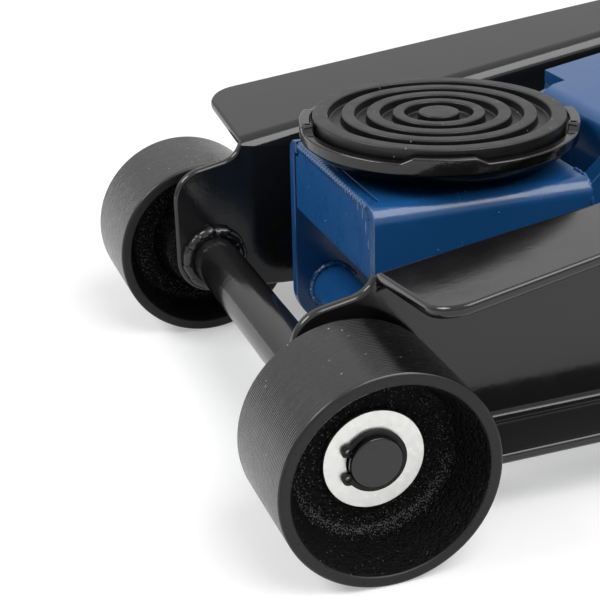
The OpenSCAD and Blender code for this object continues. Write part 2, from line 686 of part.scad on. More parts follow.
module relief_valve() color(zinc) placed()
    translate([block_step - 12, -block_half, ram_z - 15]) rotate([90, 0, 0]) {
        translate([0, 0, -12]) cylinder(r = 6, h = 13);
        cylinder(r = 10, h = 5, $fn = 6);
    }
module unit_bolts() color(zinc) placed() both_sides() for (x = unit_bolt_x) {
    rod_y(x, unit_bolt_z, unit_bolt_r - 0.02, plate_in - 30, plate_out + 3);
    rod_y(x, unit_bolt_z, 11, plate_out, plate_out + 1.5);
    hex_y(x, unit_bolt_z, 10.4, plate_out + 1.4, plate_out + 8);
}
module ram_rod() color("#c2c4c6") placed() {
    rod_x(pin_x + eye_half, piston_x, ram_z, rod_r);
    rod_x(piston_x - 1, piston_x + piston_t, ram_z, 8);
}
module ram_piston() color(steel_grey) placed() difference() {
    rod_x(piston_x, piston_x + piston_t, ram_z, piston_r);
    rod_x(piston_x - 1, piston_x + piston_t + 1, ram_z, 8.02);
    translate([piston_x + 5, 0, ram_z]) rotate([0, 90, 0]) difference() {
        cylinder(r = piston_r + 1, h = 4);
        translate([0, 0, -1]) cylinder(r = piston_r - 2, h = 6);
    }
}
module ram_eye() color(steel_grey) placed() slab_y(-eye_t, eye_t) difference() {
    union() {
        translate([pin_x - eye_half + 6, pin_low - 18]) square([2 * eye_half - 6, pin_z - pin_low + 36]);
        translate([pin_x - eye_half, pin_low - 12]) square([2 * eye_half, pin_z - pin_low + 24]);
        disc(pin_x - eye_half + 6, pin_low - 12, 6);
        disc(pin_x - eye_half + 6, pin_z + 12, 6);
    }
    disc(pin_x, pin_low - slot_play, lever_pin_r + slot_play);
    disc(pin_x, pin_z + slot_play, lever_pin_r + slot_play);
    translate([pin_x - lever_pin_r - slot_play, pin_low - slot_play])
        square([2 * (lever_pin_r + slot_play), pin_z - pin_low + 2 * slot_play]);
}

// ---------------------------------------------------------------- pump

module pump_gland() color(zinc) placed() translate([plunger_x, 0, block_back_top]) difference() {
    cylinder(r = plunger_r + 3, h = 5);
    translate([0, 0, -1]) cylinder(r = plunger_r + run, h = 8);
}
module pump_plunger() color("#c2c4c6") placed() translate([plunger_x, 0, 0]) {
    low = block_back_top - 9;
    translate([0, 0, low]) cylinder(r = plunger_r, h = plunger_top - low);
    translate([0, 0, plunger_top - plunger_head_t]) cylinder(r = plunger_r + 7, h = plunger_head_t);
}
spring_r = plunger_r + 5.3;
spring_turns = 6.5;
// a helix swept by a round wire
function helix_ring(a, r, pitch, wire, sides) = let (p = pitch / (2 * PI), radial = [cos(a), sin(a), 0],
    tangent = [-sin(a) * r, cos(a) * r, p] / norm([r, p]), side = cross(radial, tangent))
    [for (j = [0:sides - 1]) let (b = 360 * j / sides) [r * cos(a), r * sin(a), pitch * a / 360]
        + wire / 2 * (cos(b) * radial + sin(b) * side)];
module helix(r, height, turns, wire, per_turn = 24, sides = 8) {
    n = round(turns * per_turn);
    pitch = height / turns;
    rings = [for (i = [0:n]) helix_ring(360 * turns * i / n, r, pitch, wire, sides)];
    points = [for (ring = rings) for (p = ring) p];
    walls = [for (i = [0:n - 1]) for (j = [0:sides - 1]) let (k = (j + 1) % sides)
        [i * sides + j, (i + 1) * sides + j, (i + 1) * sides + k, i * sides + k]];
    first = [[for (j = [0:sides - 1]) j]];
    last = [[for (j = [0:sides - 1]) n * sides + sides - 1 - j]];
    polyhedron(points, concat(walls, first, last), convexity = 8);
}
module plunger_spring() color(steel_grey) placed() {
    foot = block_back_top + spring_wire / 2 + 0.1;
    head = plunger_top - plunger_head_t - spring_wire / 2 - 0.1;
    translate([plunger_x, 0, foot]) helix(spring_r, head - foot, spring_turns, spring_wire);
}

// ---------------------------------------------------------------- handle

// local +Z runs up the handle from its pivot, local +X points down and to the rear
module in_handle() translate([socket_x, 0, socket_z]) rotate([0, 90 - handle_lean, 0]) children();

cam_a = pump_swing / 2 + 90 - handle_lean;
cam_v = cam_lever * cos(cam_a);
cam_u = cam_lever * sin(cam_a);
module handle_socket() color(enamel_black) placed() in_handle() difference() {
    union() {
        both_sides() slab_y(yoke_arm_out - yoke_arm_t, yoke_arm_out) {
            disc(0, 0, socket_bolt_r + 9);
            polygon([[-18, 0], [18, 0], [24, bridge_u - 4], [24, tube_u], [-24, tube_u],
                [-24, bridge_u - 4]]);
        }
        translate([-24, -yoke_arm_out, bridge_u]) cube([51, 2 * yoke_arm_out, bridge_t]);
        translate([0, 0, bridge_u]) cylinder(r = socket_r, h = tube_end - bridge_u);
        both_sides() translate([-3, socket_r - 1, tube_u - 1]) rotate([90, 0, 90]) linear_extrude(6)
            polygon([[0, 0], [38, 0], [0, 60]]);
        slab_y(-13, 13) {
            disc(cam_v, cam_u, cam_r);
            polygon([[cam_v - cam_r, cam_u], [cam_v + cam_r - 4.6, cam_u], [27, bridge_u + 1],
                [cam_v - cam_r, bridge_u + 1]]);
        }
    }
    translate([0, 0, tube_u]) cylinder(r = socket_bore, h = tube_end);
    cylinder(r = 8.5, h = 100);
    rod_y(0, 0, socket_bolt_r + run, -plate_out, plate_out);
}
module socket_pivot_bolts() color(zinc) placed() both_sides() {
    rod_y(socket_x, socket_z, socket_bolt_r, yoke_arm_out - yoke_arm_t, plate_out + 2);
    rod_y(socket_x, socket_z, socket_bolt_r + 5, plate_out, plate_out + 2);
    hex_y(socket_x, socket_z, socket_bolt_r + 5, plate_out + 1.9, plate_out + 9);
}
// a ball in an open cup on the handle's pivot: the valve stem stands still while the handle pumps
ball_r = 6.5;
valve_cup_r = 9;
neck_r = 4;
coupling_r = 7;
module release_valve() color(steel_grey) placed() in_handle() difference() {
    union() {
        translate([0, 0, -50]) cylinder(r = valve_stem_r, h = 36);
        translate([0, 0, -16]) cylinder(r = valve_cup_r, h = 14.5);
    }
    translate([0, 0, -ball_r - 0.7]) cylinder(r = ball_r + gap, h = 20);
}
module release_coupling() color(steel_grey) placed() in_handle() {
    sphere(r = ball_r);
    cylinder(r = neck_r, h = 17);
    translate([0, 0, 16]) cylinder(r = coupling_r, h = tube_u - 12);
    difference() {
        translate([0, 0, tube_u + 2]) cylinder(r = handle_r - handle_wall - 2, h = 26);
        translate([-4.6, -20, tube_u + 12]) cube([9.2, 40, 30]);
    }
}
module handle_cross_pin() color(zinc) placed() in_handle()
    rod_y(0, tube_u + 18, 4, -handle_r + 0.1, handle_r - 0.1);
module handle_lower() color(enamel_black) placed() in_handle() difference() {
    translate([0, 0, tube_u + gap]) cylinder(r = handle_r, h = handle_mid - tube_u - gap);
    cylinder(r = handle_r - handle_wall, h = handle_mid + 1);
    rod_y(0, tube_u + 18, 4.02, -30, 30);
}
module handle_upper() color(enamel_black) placed() in_handle() difference() {
    union() {
        translate([0, 0, handle_mid]) cylinder(r = handle_r, h = handle_end - handle_mid);
        translate([0, 0, handle_mid - 55]) cylinder(r = handle_r - handle_wall - 0.05, h = 60);
    }
    translate([0, 0, handle_mid - 60]) cylinder(r = handle_r - 2 * handle_wall, h = handle_end);
}
module handle_grip() color(rubber_black) placed() in_handle() difference() {
    union() {
        translate([0, 0, grip_end - grip_len]) cylinder(r = grip_r, h = grip_len - grip_chamfer);
        translate([0, 0, grip_end - grip_chamfer])
            cylinder(r1 = grip_r, r2 = grip_r - grip_chamfer, h = grip_chamfer);
    }
    translate([0, 0, grip_end - grip_len - 1])
        cylinder(r = handle_r + 0.02, h = handle_end - grip_end + grip_len + 1);
}

// ---------------------------------------------------------------- casters and covers

module caster_fork() translate([caster_x, caster_y, 0]) {
    cheek = caster_w / 2 + 2;
    head_low = caster_top - gap - 10;
    translate([0, 0, head_low]) cylinder(r = 20, h = 10);
    translate([0, 0, head_low]) cylinder(r = 8, h = caster_top + caster_plate_t + 1 - head_low);
    translate([0, 0, caster_top + caster_plate_t + gap]) cylinder(r = 12, h = 3);
    translate([-18, -cheek - 3, head_low - 4]) cube([38, 2 * cheek + 6, 4.5]);
    both_sides() slab_y(cheek, cheek + 3) difference() {
        polygon([[-18, head_low - 3], [20, head_low - 3], [caster_trail + 11, caster_z],
            [caster_trail + 6, caster_z - 9], [caster_trail - 6, caster_z - 9], [caster_trail - 11, caster_z]]);
        disc(caster_trail, caster_z, 6.02);
    }
}
module caster_wheel() translate([caster_x, caster_y, caster_z]) translate([caster_trail, -caster_w / 2, 0])
    rotate([-90, 0, 0]) rotate_extrude() polygon(concat([[6 + run, -1], [11, -1], [12, 2], [caster_r - 6, 2]],
        arc(caster_r - 3, 3, 3, -90, 0, 6), arc(caster_r - 3, caster_w - 3, 3, 0, 90, 6),
        [[caster_r - 6, caster_w - 2], [12, caster_w - 2], [11, caster_w + 1], [6 + run, caster_w + 1]]));
module caster_bolt() translate([caster_x + caster_trail, caster_y, 0]) {
    out = caster_w / 2 + 5;
    rod_y(0, caster_z, 6, -out, out + 4);
    hex_y(0, caster_z, 9, -out - 5, -out);
    hex_y(0, caster_z, 9, out, out + 6);
}
module caster_fork_right() color(zinc) placed() caster_fork();
module caster_fork_left() color(zinc) placed() mirror([0, 1, 0]) caster_fork();
module caster_wheel_right() color(rubber_black) placed() caster_wheel();
module caster_wheel_left() color(rubber_black) placed() mirror([0, 1, 0]) caster_wheel();
module caster_bolt_right() color(zinc) placed() caster_bolt();
module caster_bolt_left() color(zinc) placed() mirror([0, 1, 0]) caster_bolt();

module rear_cover() color(enamel_black) placed() difference() {
    union() {
        translate([cover_front, -plate_in + 0.1, cover_z - cover_t])
            cube([cover_back - cover_front, plate_gap - 0.2, cover_t]);
        both_sides() translate([cover_front, plate_in - 0.1 - cover_t, cover_z - 24])
            cube([cover_back - cover_front, cover_t, 24]);
    }
    for (x = cover_screw_x) rod_y(x, cover_screw_z, 3.02, -plate_in - 1, plate_in + 1);
}
module cover_screws() color(zinc) placed() both_sides() for (x = cover_screw_x) {
    rod_y(x, cover_screw_z, 3, plate_in - 8, plate_out + 1);
    rod_y(x, cover_screw_z, 6, plate_out, plate_out + 3.4);
}

// ---------------------------------------------------------------- nodes

side_plate_right();
side_plate_left();
front_axle();
axle_spacers();
axle_washers();
axle_circlips();
tie_rod();
arm_pivot_shaft();
arm_pivot_nuts();
link_anchor_pins();
pump_block();
ram_cylinder();
reservoir_tube();
gland_nut();
filler_plug();
relief_valve();
unit_bolts();
rear_cover();
cover_screws();
rear_crossmember();
caster_plates();
pump_gland();
plunger_spring();
socket_pivot_bolts();
arm_top_plate();
arm_side_plates();
arm_forks();
arm_pivot_tube();
ram_levers();
ram_lever_pin();
saddle_yoke();
yoke_front_plate();
link_cross_bar();
link_bar_clips();
arm_front_pin();
arm_front_clips();
saddle_cup();
saddle_pad();
saddle_nut();
link_right();
link_left();
front_wheel_right();
front_wheel_left();
caster_fork_right();
caster_wheel_right();
caster_bolt_right();
caster_fork_left();
caster_wheel_left();
caster_bolt_left();
ram_rod();
ram_piston();
ram_eye();
pump_plunger();
handle_socket();
release_valve();
release_coupling();
handle_lower();
handle_upper();
handle_grip();
handle_cross_pin();
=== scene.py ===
# %% [markdown]
# # A hydraulic garage jack
# A garage jack is a welded steel frame on wheels with a lift arm between its side plates. This notebook
# loads the finished solid model, gives each piece the finish that the real one has, and adds what a solid
# model leaves out: rounded edges, weld beads, cast skin, turned lines and ribs.

# %% Loading the solid model
import json
import math
import bmesh
import bpy
from mathutils import Matrix, Vector, noise
from mathutils.bvhtree import BVHTree


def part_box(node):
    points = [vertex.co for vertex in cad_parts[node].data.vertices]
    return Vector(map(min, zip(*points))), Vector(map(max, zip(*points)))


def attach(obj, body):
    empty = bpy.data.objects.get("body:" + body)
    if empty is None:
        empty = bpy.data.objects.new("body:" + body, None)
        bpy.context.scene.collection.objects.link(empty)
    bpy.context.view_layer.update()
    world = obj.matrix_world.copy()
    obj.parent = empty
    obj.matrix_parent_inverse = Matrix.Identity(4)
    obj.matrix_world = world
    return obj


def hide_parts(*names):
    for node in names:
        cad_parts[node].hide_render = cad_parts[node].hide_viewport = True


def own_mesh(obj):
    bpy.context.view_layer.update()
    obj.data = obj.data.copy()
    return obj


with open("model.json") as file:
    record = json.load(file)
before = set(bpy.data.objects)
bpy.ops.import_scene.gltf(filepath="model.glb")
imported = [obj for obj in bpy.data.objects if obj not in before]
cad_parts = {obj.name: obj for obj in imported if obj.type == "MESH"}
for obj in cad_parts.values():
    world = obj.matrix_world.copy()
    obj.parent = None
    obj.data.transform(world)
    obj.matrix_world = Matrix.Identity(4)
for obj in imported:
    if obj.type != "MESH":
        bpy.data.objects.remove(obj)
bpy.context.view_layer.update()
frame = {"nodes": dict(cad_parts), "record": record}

# %% [markdown]
# ## Where things are
# All lengths below are in millimetres: back from the front axle, across from the jack's middle and up from
# the floor, because a workshop drawing of a jack is dimensioned like that. One function turns such a place
# into the shared frame in metres. How far forward the axle stands is measured from the loaded model.

# %% Millimetres from the front axle
MM = 0.001
low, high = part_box("front_axle")
AXLE_X = (low[0] + high[0]) / 2
WHEEL_R = 45
AXLE_Z = WHEEL_R


def at(x, y, z):
    return Vector((AXLE_X + x * MM, y * MM, z * MM))


def node_mm(node):
    """The two corners of a node's box, in the drawing's millimetres."""
    return [((p[0] - AXLE_X) / MM, p[1] / MM, p[2] / MM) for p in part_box(node)]


print("front axle at x =", round(AXLE_X, 5), "m")

# %% [markdown]
# ## Colour and nodes
# Paint makers give colours as sRGB hex values, but a renderer adds light in linear numbers, so one function
# converts them. A node could be added and wired in four or five lines each time. One small function does it
# in one, and every material and every tree below is built with it.

# %% Colour, nodes and a plain material
def linear(hex_colour):
    channels = [int(hex_colour[i:i + 2], 16) / 255 for i in (1, 3, 5)]
    return [c / 12.92 if c <= 0.04045 else ((c + 0.055) / 1.055) ** 2.4 for c in channels] + [1.0]


def add(tree, kind, settings=None, out=0, into=None, **inputs):
    """Adds a node and gives back one of its outputs, or all of them if out is None.
    Inputs are named, or numbered as i0, i1; into is an input elsewhere that the output is linked to."""
    node = tree.nodes.new(kind)
    for key, value in (settings or {}).items():
        setattr(node, key, value)
    for key, value in inputs.items():
        numbered = key[0] == "i" and key[1:].isdigit()
        place = node.inputs[int(key[1:]) if numbered else key.replace("_", " ")]
        if isinstance(value, bpy.types.NodeSocket):
            tree.links.new(value, place)
        else:
            place.default_value = value
    if out is None or not node.outputs:
        return node.outputs
    if into is not None:
        tree.links.new(node.outputs[out], into)
    return node.outputs[out]


def new_material(name, hex_colour, roughness, metallic=0.0, ior=1.5, shine=0.5):
    material = bpy.data.materials.new(name)
    material.use_nodes = True
    tree = material.node_tree
    shader = tree.nodes["Principled BSDF"].inputs
    for key, value in (("Base Color", linear(hex_colour)), ("Roughness", roughness), ("Metallic", metallic),
                       ("IOR", ior), ("Specular IOR Level", shine)):
        shader[key].default_value = value
    material.diffuse_color = linear(hex_colour)
    return material, tree, shader


def grain(tree, size_mm, detail=2.0, rough=0.5, vector=None):
    """Fine cloudy noise whose spots are about size_mm wide."""
    place = vector or add(tree, "ShaderNodeTexCoord", out="Object")
    return add(tree, "ShaderNodeTexNoise", Vector=place, Scale=1 / (size_mm * MM), Detail=detail,
               Roughness=rough)


def blended(material, base, film, mask):
    """Base colour where the mask is black, film colour where it is white."""
    tree = material.node_tree
    add(tree, "ShaderNodeMix", {"data_type": "RGBA"}, i0=mask, i6=linear(base), i7=linear(film), out=2,
        into=tree.nodes["Principled BSDF"].inputs["Base Color"])


def facing_up(tree):
    """1 on faces that look up, 0 on upright ones, -1 on faces that look down."""
    face = add(tree, "ShaderNodeNewGeometry", out="True Normal")
    return add(tree, "ShaderNodeSeparateXYZ", Vector=face, out="Z")


print("black enamel's red, green and blue in linear light:", [round(c, 4) for c in linear("#151516")])

# %% [markdown]
# ## Finishes
# The frame is dipped or sprayed in gloss black alkyd enamel: a thick coat that is nearly black, mirrors what
# is above it, and has the faint waviness that painters call orange peel. A flat glossy colour would look like
# plastic film, so the waviness is a bump and the gloss varies a little from place to place. The saddle's yoke
# and the arm have the same paint in blue; the yoke's front plate and cross bar get a lighter, nearly
# shineless copy of it, painted light. Faces that look up below 60 mm, such as the tops of the bottom flanges,
# are
# painted a lighter grey: painted light from above.

# %% Enamels
def enamel(name, hex_colour, roughness, peel_mm, peel_depth_mm, shine=0.5):
    material, tree, shader = new_material(name, hex_colour, roughness, shine=shine)
    add(tree, "ShaderNodeBump", Strength=1.0, Distance=peel_depth_mm * MM, Height=grain(tree, peel_mm),
        into=shader["Normal"])
    add(tree, "ShaderNodeMapRange", i0=grain(tree, 14, 3.0), i1=0.35, i2=0.7, i3=roughness * 0.8,
        i4=roughness * 1.35, into=shader["Roughness"])
    return material


def painted_light_on_low_tops(material, base, lit_tone, top_mm, fade_mm=6):
    """A lighter colour painted on faces that look up, below a height: painted light from above."""
    tree = material.node_tree
    place = add(tree, "ShaderNodeTexCoord", out="Object")
    height = add(tree, "ShaderNodeSeparateXYZ", Vector=place, out="Z")
    up = add(tree, "ShaderNodeMapRange", i0=facing_up(tree), i1=0.7, i2=0.95, i3=0.0, i4=1.0)
    low_down = add(tree, "ShaderNodeMapRange", i0=height, i1=top_mm * MM, i2=(top_mm - fade_mm) * MM, i3=0.0,
                   i4=1.0)
    blended(material, base, lit_tone, add(tree, "ShaderNodeMath", {"operation": "MULTIPLY"}, i0=up, i1=low_down))


BLACK_ENAMEL = enamel("gloss_black_alkyd_enamel", "#151516", 0.13, 2.4, 0.03)
# Painted light: the upward faces of the bottom flanges get a lighter grey in place of the light that falls on
# them.
painted_light_on_low_tops(BLACK_ENAMEL, "#151516", "#272727", 60)
BLUE_ENAMEL = enamel("gloss_blue_alkyd_enamel", "#184a7e", 0.21, 1.9, 0.05)
# Painted light: a slightly lighter copy of the blue enamel with almost no shine, standing in for the light on
# the yoke's front plate and cross bar and for the dark that they mirror.
BLUE_LIT_COPY = enamel("blue_enamel_painted_light_copy", "#184c82", 0.3, 2.4, 0.03, 0.08)
print(BLACK_ENAMEL.name, BLUE_ENAMEL.name, BLUE_LIT_COPY.name)

# %% [markdown]
# The front wheels are grey iron castings painted satin black. The tread is turned, which leaves fine rings
# round it, and the dished faces keep the grainy skin of the sand mould under the paint. Rings could be cut
# into the mesh, but they are far finer than its faces, so a wave pattern bumps them in. The real rings are a
# fraction of a millimetre apart, too fine to show, so they are drawn 1.35 mm apart. Where the fillet round
# the dish floor looks up, light grey grains are painted into the skin's colour: painted glints.

# %% Painted castings
def specks(tree, spacing_mm, size_mm, share):
    """White where a speck lies: a share of the cells of a Voronoi pattern hold one."""
    place = add(tree, "ShaderNodeTexCoord", out="Object")
    cells = add(tree, "ShaderNodeTexVoronoi", Vector=place, Scale=1 / (spacing_mm * MM), out=None)
    dot = add(tree, "ShaderNodeMapRange", i0=cells["Distance"], i1=size_mm / spacing_mm,
              i2=0.6 * size_mm / spacing_mm, i3=0.0, i4=1.0)
    pick = add(tree, "ShaderNodeSeparateColor", Color=cells["Color"])
    some = add(tree, "ShaderNodeMath", {"operation": "LESS_THAN"}, i0=pick, i1=share)
    return add(tree, "ShaderNodeMath", {"operation": "MULTIPLY"}, i0=dot, i1=some)


def turned_paint(ring_pitch_mm=1.35, ring_depth_mm=0.075):
    material, tree, shader = new_material("satin_black_paint_on_turned_iron", "#0c0c0c", 0.24)
    place = add(tree, "ShaderNodeTexCoord", out="Object")
    rings = add(tree, "ShaderNodeTexWave", {"bands_direction": "Y"}, Vector=place,
                Scale=math.pi / 10 / (ring_pitch_mm * MM), Distortion=0.6, Detail=1.5, Detail_Scale=0.3,
                out="Fac")
    stretched = add(tree, "ShaderNodeMapping", Vector=place, Scale=(1.0, 9.0, 1.0))
    scuffs = grain(tree, 7, 3.0, vector=stretched)
    height = add(tree, "ShaderNodeMath", {"operation": "MULTIPLY_ADD"}, i0=scuffs, i1=0.8, i2=rings)
    add(tree, "ShaderNodeBump", Strength=1.0, Distance=ring_depth_mm * MM, Height=height,
        into=shader["Normal"])
    add(tree, "ShaderNodeMapRange", i0=scuffs, i1=0.3, i2=0.75, i3=0.19, i4=0.32, into=shader["Roughness"])
    blended(material, "#0c0c0c", "#8d949b", specks(tree, 4.0, 0.5, 0.3))
    return material


def cast_skin(name, hex_colour, roughness, grain_mm, depth_mm, shine=0.5):
    material, tree, shader = new_material(name, hex_colour, roughness, shine=shine)
    coarse, fine = grain(tree, grain_mm * 2.6, 3.0), grain(tree, grain_mm, 3.0, 0.6)
    height = add(tree, "ShaderNodeMath", {"operation": "MULTIPLY_ADD"}, i0=coarse, i1=0.8, i2=fine)
    add(tree, "ShaderNodeBump", Strength=1.0, Distance=depth_mm * MM, Height=height, into=shader["Normal"])
    return material


def painted_glint_share(tree):
    """Share of painted glints: a few on the dish floor, many on the upward side of the fillet round it."""
    place = add(tree, "ShaderNodeTexCoord", out="Object")
    across = add(tree, "ShaderNodeMapping", Vector=place, Location=(-AXLE_X, 0.0, -AXLE_Z * MM),
                 Scale=(1.0, 0.0, 1.0))
    radius = add(tree, "ShaderNodeVectorMath", {"operation": "LENGTH"}, i0=across, out="Value")
    starts = add(tree, "ShaderNodeMapRange", i0=radius, i1=27 * MM, i2=30 * MM, i3=0.0, i4=1.0)
    ends = add(tree, "ShaderNodeMapRange", i0=radius, i1=31 * MM, i2=34.5 * MM, i3=1.0, i4=0.0)
    fillet = add(tree, "ShaderNodeMath", {"operation": "MULTIPLY"}, i0=starts, i1=ends)
    upward = add(tree, "ShaderNodeMapRange", i0=facing_up(tree), i1=0.0, i2=0.3, i3=0.05, i4=0.85)
    floor = add(tree, "ShaderNodeMapRange", i0=radius, i1=30 * MM, i2=33 * MM, i3=0.07, i4=0.01)
    return add(tree, "ShaderNodeMath", {"operation": "MULTIPLY_ADD"}, i0=fillet, i1=upward, i2=floor)


TURNED_PAINT = turned_paint()
CAST_SKIN = cast_skin("black_painted_sand_cast_iron", "#060606", 0.1, 1.0, 1.5, 0.13)
# Painted glints: light grey specks in the dish's colour stand in for grains that catch the light.
painted_glints = specks(CAST_SKIN.node_tree, 0.5, 0.27, painted_glint_share(CAST_SKIN.node_tree))
blended(CAST_SKIN, "#050505", "#6c6c6c", painted_glints)
RIM_PAINT = cast_skin("satin_black_paint_on_rim", "#191919", 0.4, 2.2, 0.05, 0.28)
# Painted shade: dark specks in the rim's colour stand in for the shade in small casting pits.
blended(RIM_PAINT, "#191919", "#020202", specks(RIM_PAINT.node_tree, 2.2, 0.62, 0.4))
BLOCK_IRON = cast_skin("grey_painted_cast_iron", "#3a3d40", 0.45, 1.3, 0.25)
print("castings", TURNED_PAINT.name, CAST_SKIN.name, RIM_PAINT.name, BLOCK_IRON.name)

# %% [markdown]
# The saddle is cast too, but smoother, and it is dipped, so the paint is glossy. Its underside stands right
# over the yoke and sees little light, so its shine is turned down on faces that look down: painted shade.

# %% Saddle paint
SADDLE_CAST = cast_skin("gloss_black_painted_casting", "#070707", 0.12, 3.2, 0.1, 0.25)
# Painted shade: the shine falls away on faces that look down, so the underside mirrors less of the blue yoke.
add(SADDLE_CAST.node_tree, "ShaderNodeMapRange", i0=facing_up(SADDLE_CAST.node_tree), i1=-0.5, i2=-0.1,
    i3=0.02, i4=0.5, into=SADDLE_CAST.node_tree.nodes["Principled BSDF"].inputs["Specular IOR Level"])
print("saddle", SADDLE_CAST.name)

# %% [markdown]
# The saddle pad is moulded natural rubber with carbon black: dark grey, matt, with a soft broad highlight.
# The handle grip is the same rubber and the caster wheels are moulded nylon, a little shinier. All three come
# from a mould with a fine texture, so one function makes them, with a shallow bump and an uneven gloss.

# %% Rubber and nylon
def moulded(name, hex_colour, roughness, grain_mm, depth_mm, ior=1.5, shine=0.5):
    material, tree, shader = new_material(name, hex_colour, roughness, ior=ior, shine=shine)
    add(tree, "ShaderNodeBump", Strength=1.0, Distance=depth_mm * MM, Height=grain(tree, grain_mm, 3.0),
        into=shader["Normal"])
    add(tree, "ShaderNodeMapRange", i0=grain(tree, 9, 3.0), i1=0.35, i2=0.7, i3=roughness * 0.9,
        i4=roughness * 1.12, into=shader["Roughness"])
    return material


PAD_RUBBER = moulded("moulded_carbon_black_rubber", "#0c0c0c", 0.4, 0.9, 0.05, 1.52, 0.37)
blended(PAD_RUBBER, "#0c0c0c", "#a0a0a0", specks(PAD_RUBBER.node_tree, 3.6, 0.4, 0.22))
GRIP_RUBBER = moulded("ribbed_rubber_grip", "#171717", 0.62, 0.8, 0.04, 1.52)
CASTER_NYLON = moulded("moulded_black_nylon", "#1a1a1b", 0.38, 1.2, 0.03, 1.53)
print("moulded", PAD_RUBBER.name, GRIP_RUBBER.name, CASTER_NYLON.name)

# %% [markdown]
# Washers, nuts and screws are zinc plated and clear passivated: a pale, slightly blue, brushed-looking metal.
# Pins are phosphated dark grey, machined steel is plain, and the plunger and rod are ground hard chrome. The
# four differ only in tone, gloss and the depth of their marks, so they share one function too.

# %% Metals
def metal(name, hex_colour, roughness, grain_mm, depth_mm):
    material, tree, shader = new_material(name, hex_colour, roughness, metallic=1.0)
    marks = grain(tree, grain_mm, 4.0, 0.6)
    add(tree, "ShaderNodeBump", Strength=1.0, Distance=depth_mm * MM, Height=marks, into=shader["Normal"])
    add(tree, "ShaderNodeMapRange", i0=marks, i1=0.3, i2=0.7, i3=roughness * 0.75, i4=roughness * 1.3,
        into=shader["Roughness"])
    return material


ZINC_PLATE = metal("clear_zinc_plated_steel", "#d6d7d4", 0.34, 2.5, 0.012)
DARK_STEEL = metal("phosphated_spring_steel", "#2c2c2d", 0.42, 1.5, 0.03)
BRIGHT_STEEL = metal("machined_steel", "#a9abad", 0.32, 1.2, 0.02)
HARD_CHROME = metal("ground_hard_chrome", "#cfd2d4", 0.12, 4.0, 0.004)
print("metals", ZINC_PLATE.name, DARK_STEEL.name, BRIGHT_STEEL.name, HARD_CHROME.name)

# %% [markdown]
# ## Giving each node its finish
# Every solid in the model lists a material slot. Each of the sixty nodes could be dressed by name, but one
# table from slot to finish dresses the whole jack, and a new node in the model would be dressed as well.

# %% Finish by slot
FINISH = {"frame_enamel": BLACK_ENAMEL, "wheel_enamel": TURNED_PAINT, "blue_enamel": BLUE_ENAMEL,
          "saddle_enamel": SADDLE_CAST, "pad_rubber": PAD_RUBBER, "zinc_plate": ZINC_PLATE,
          "dark_steel": DARK_STEEL, "bright_steel": BRIGHT_STEEL, "hard_chrome": HARD_CHROME,
          "block_iron": BLOCK_IRON, "grip_rubber": GRIP_RUBBER, "caster_nylon": CASTER_NYLON}
SLOT_OF = {entry["node"]: entry["material_slot"] for entry in frame["record"]["subparts"]}
BODY_OF = {node: body for body, nodes in frame["record"]["behaviour"]["bodies"].items() for node in nodes}


def dress(obj, material):
    obj.data.materials.clear()
    obj.data.materials.append(material)


def settle(obj, node, material=None):
    """The piece gets the node's finish and body, and stands for the node from then on."""
    dress(obj, material or FINISH[SLOT_OF[node]])
    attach(obj, BODY_OF[node])
    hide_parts(node)
    return obj


for name, obj in frame["nodes"].items():
    dress(obj, FINISH[SLOT_OF[name]])
print("dressed", len(frame["nodes"]), "nodes in", len(FINISH), "finishes")

# %% [markdown]
# ## Rounded edges
# A solid model has knife edges. Real plate is sheared, ground and then thickly painted, so every edge
# carries a thin highlight. A shader could fake that, but the outline would stay sharp, so a bevel rounds
# the mesh. Each node is copied, the copy's loose triangles are merged and its flat faces joined again, and
# edges sharper than 30 degrees are rounded. The copy then stands for the node.

# %% Merging a copy and baking modifiers
def link(name, mesh):
    obj = bpy.data.objects.new(name, mesh)
    bpy.context.collection.objects.link(obj)
    return obj


def smooth(obj, degrees=30):
    """Smooth shading, with a crease where faces meet at more than this angle."""
    obj.data.polygons.foreach_set("use_smooth", [True] * len(obj.data.polygons))
    obj.data.set_sharp_from_angle(angle=math.radians(degrees))


def baked(obj, name, crease_degrees):
    """Turns the object with its modifiers into a plain mesh."""
    depsgraph = bpy.context.evaluated_depsgraph_get()
    mesh = bpy.data.meshes.new_from_object(obj.evaluated_get(depsgraph), depsgraph=depsgraph)
    obj.modifiers.clear()
    obj.data = mesh
    obj.name = mesh.name = name
    smooth(obj, crease_degrees)
    return obj


def merged_copy(node):
    mesh = frame["nodes"][node].data.copy()
    bm = bmesh.new()
    bm.from_mesh(mesh)
    bmesh.ops.remove_doubles(bm, verts=bm.verts, dist=0.002 * MM)
    bmesh.ops.dissolve_degenerate(bm, edges=bm.edges, dist=0.001 * MM)
    bmesh.ops.dissolve_limit(bm, angle_limit=math.radians(0.4), verts=bm.verts, edges=bm.edges)
    bm.to_mesh(mesh)
    bm.free()
    return mesh


print("a side plate has", len(frame["nodes"]["side_plate_left"].data.polygons), "triangles and",
      len(merged_copy("side_plate_left").polygons), "faces after merging")

# %% [markdown]
# A wide round needs room. Where a thick plate has small steps, a bevel of one width would fold over itself,
# and a bevel that stops at the first short edge would leave the whole plate sharp. So each edge has a weight:
# the room beside it over the width wanted, smaller next to a hollow corner and rising away from it.

# %% Room for a round
SMALLEST_SHARE = 0.12


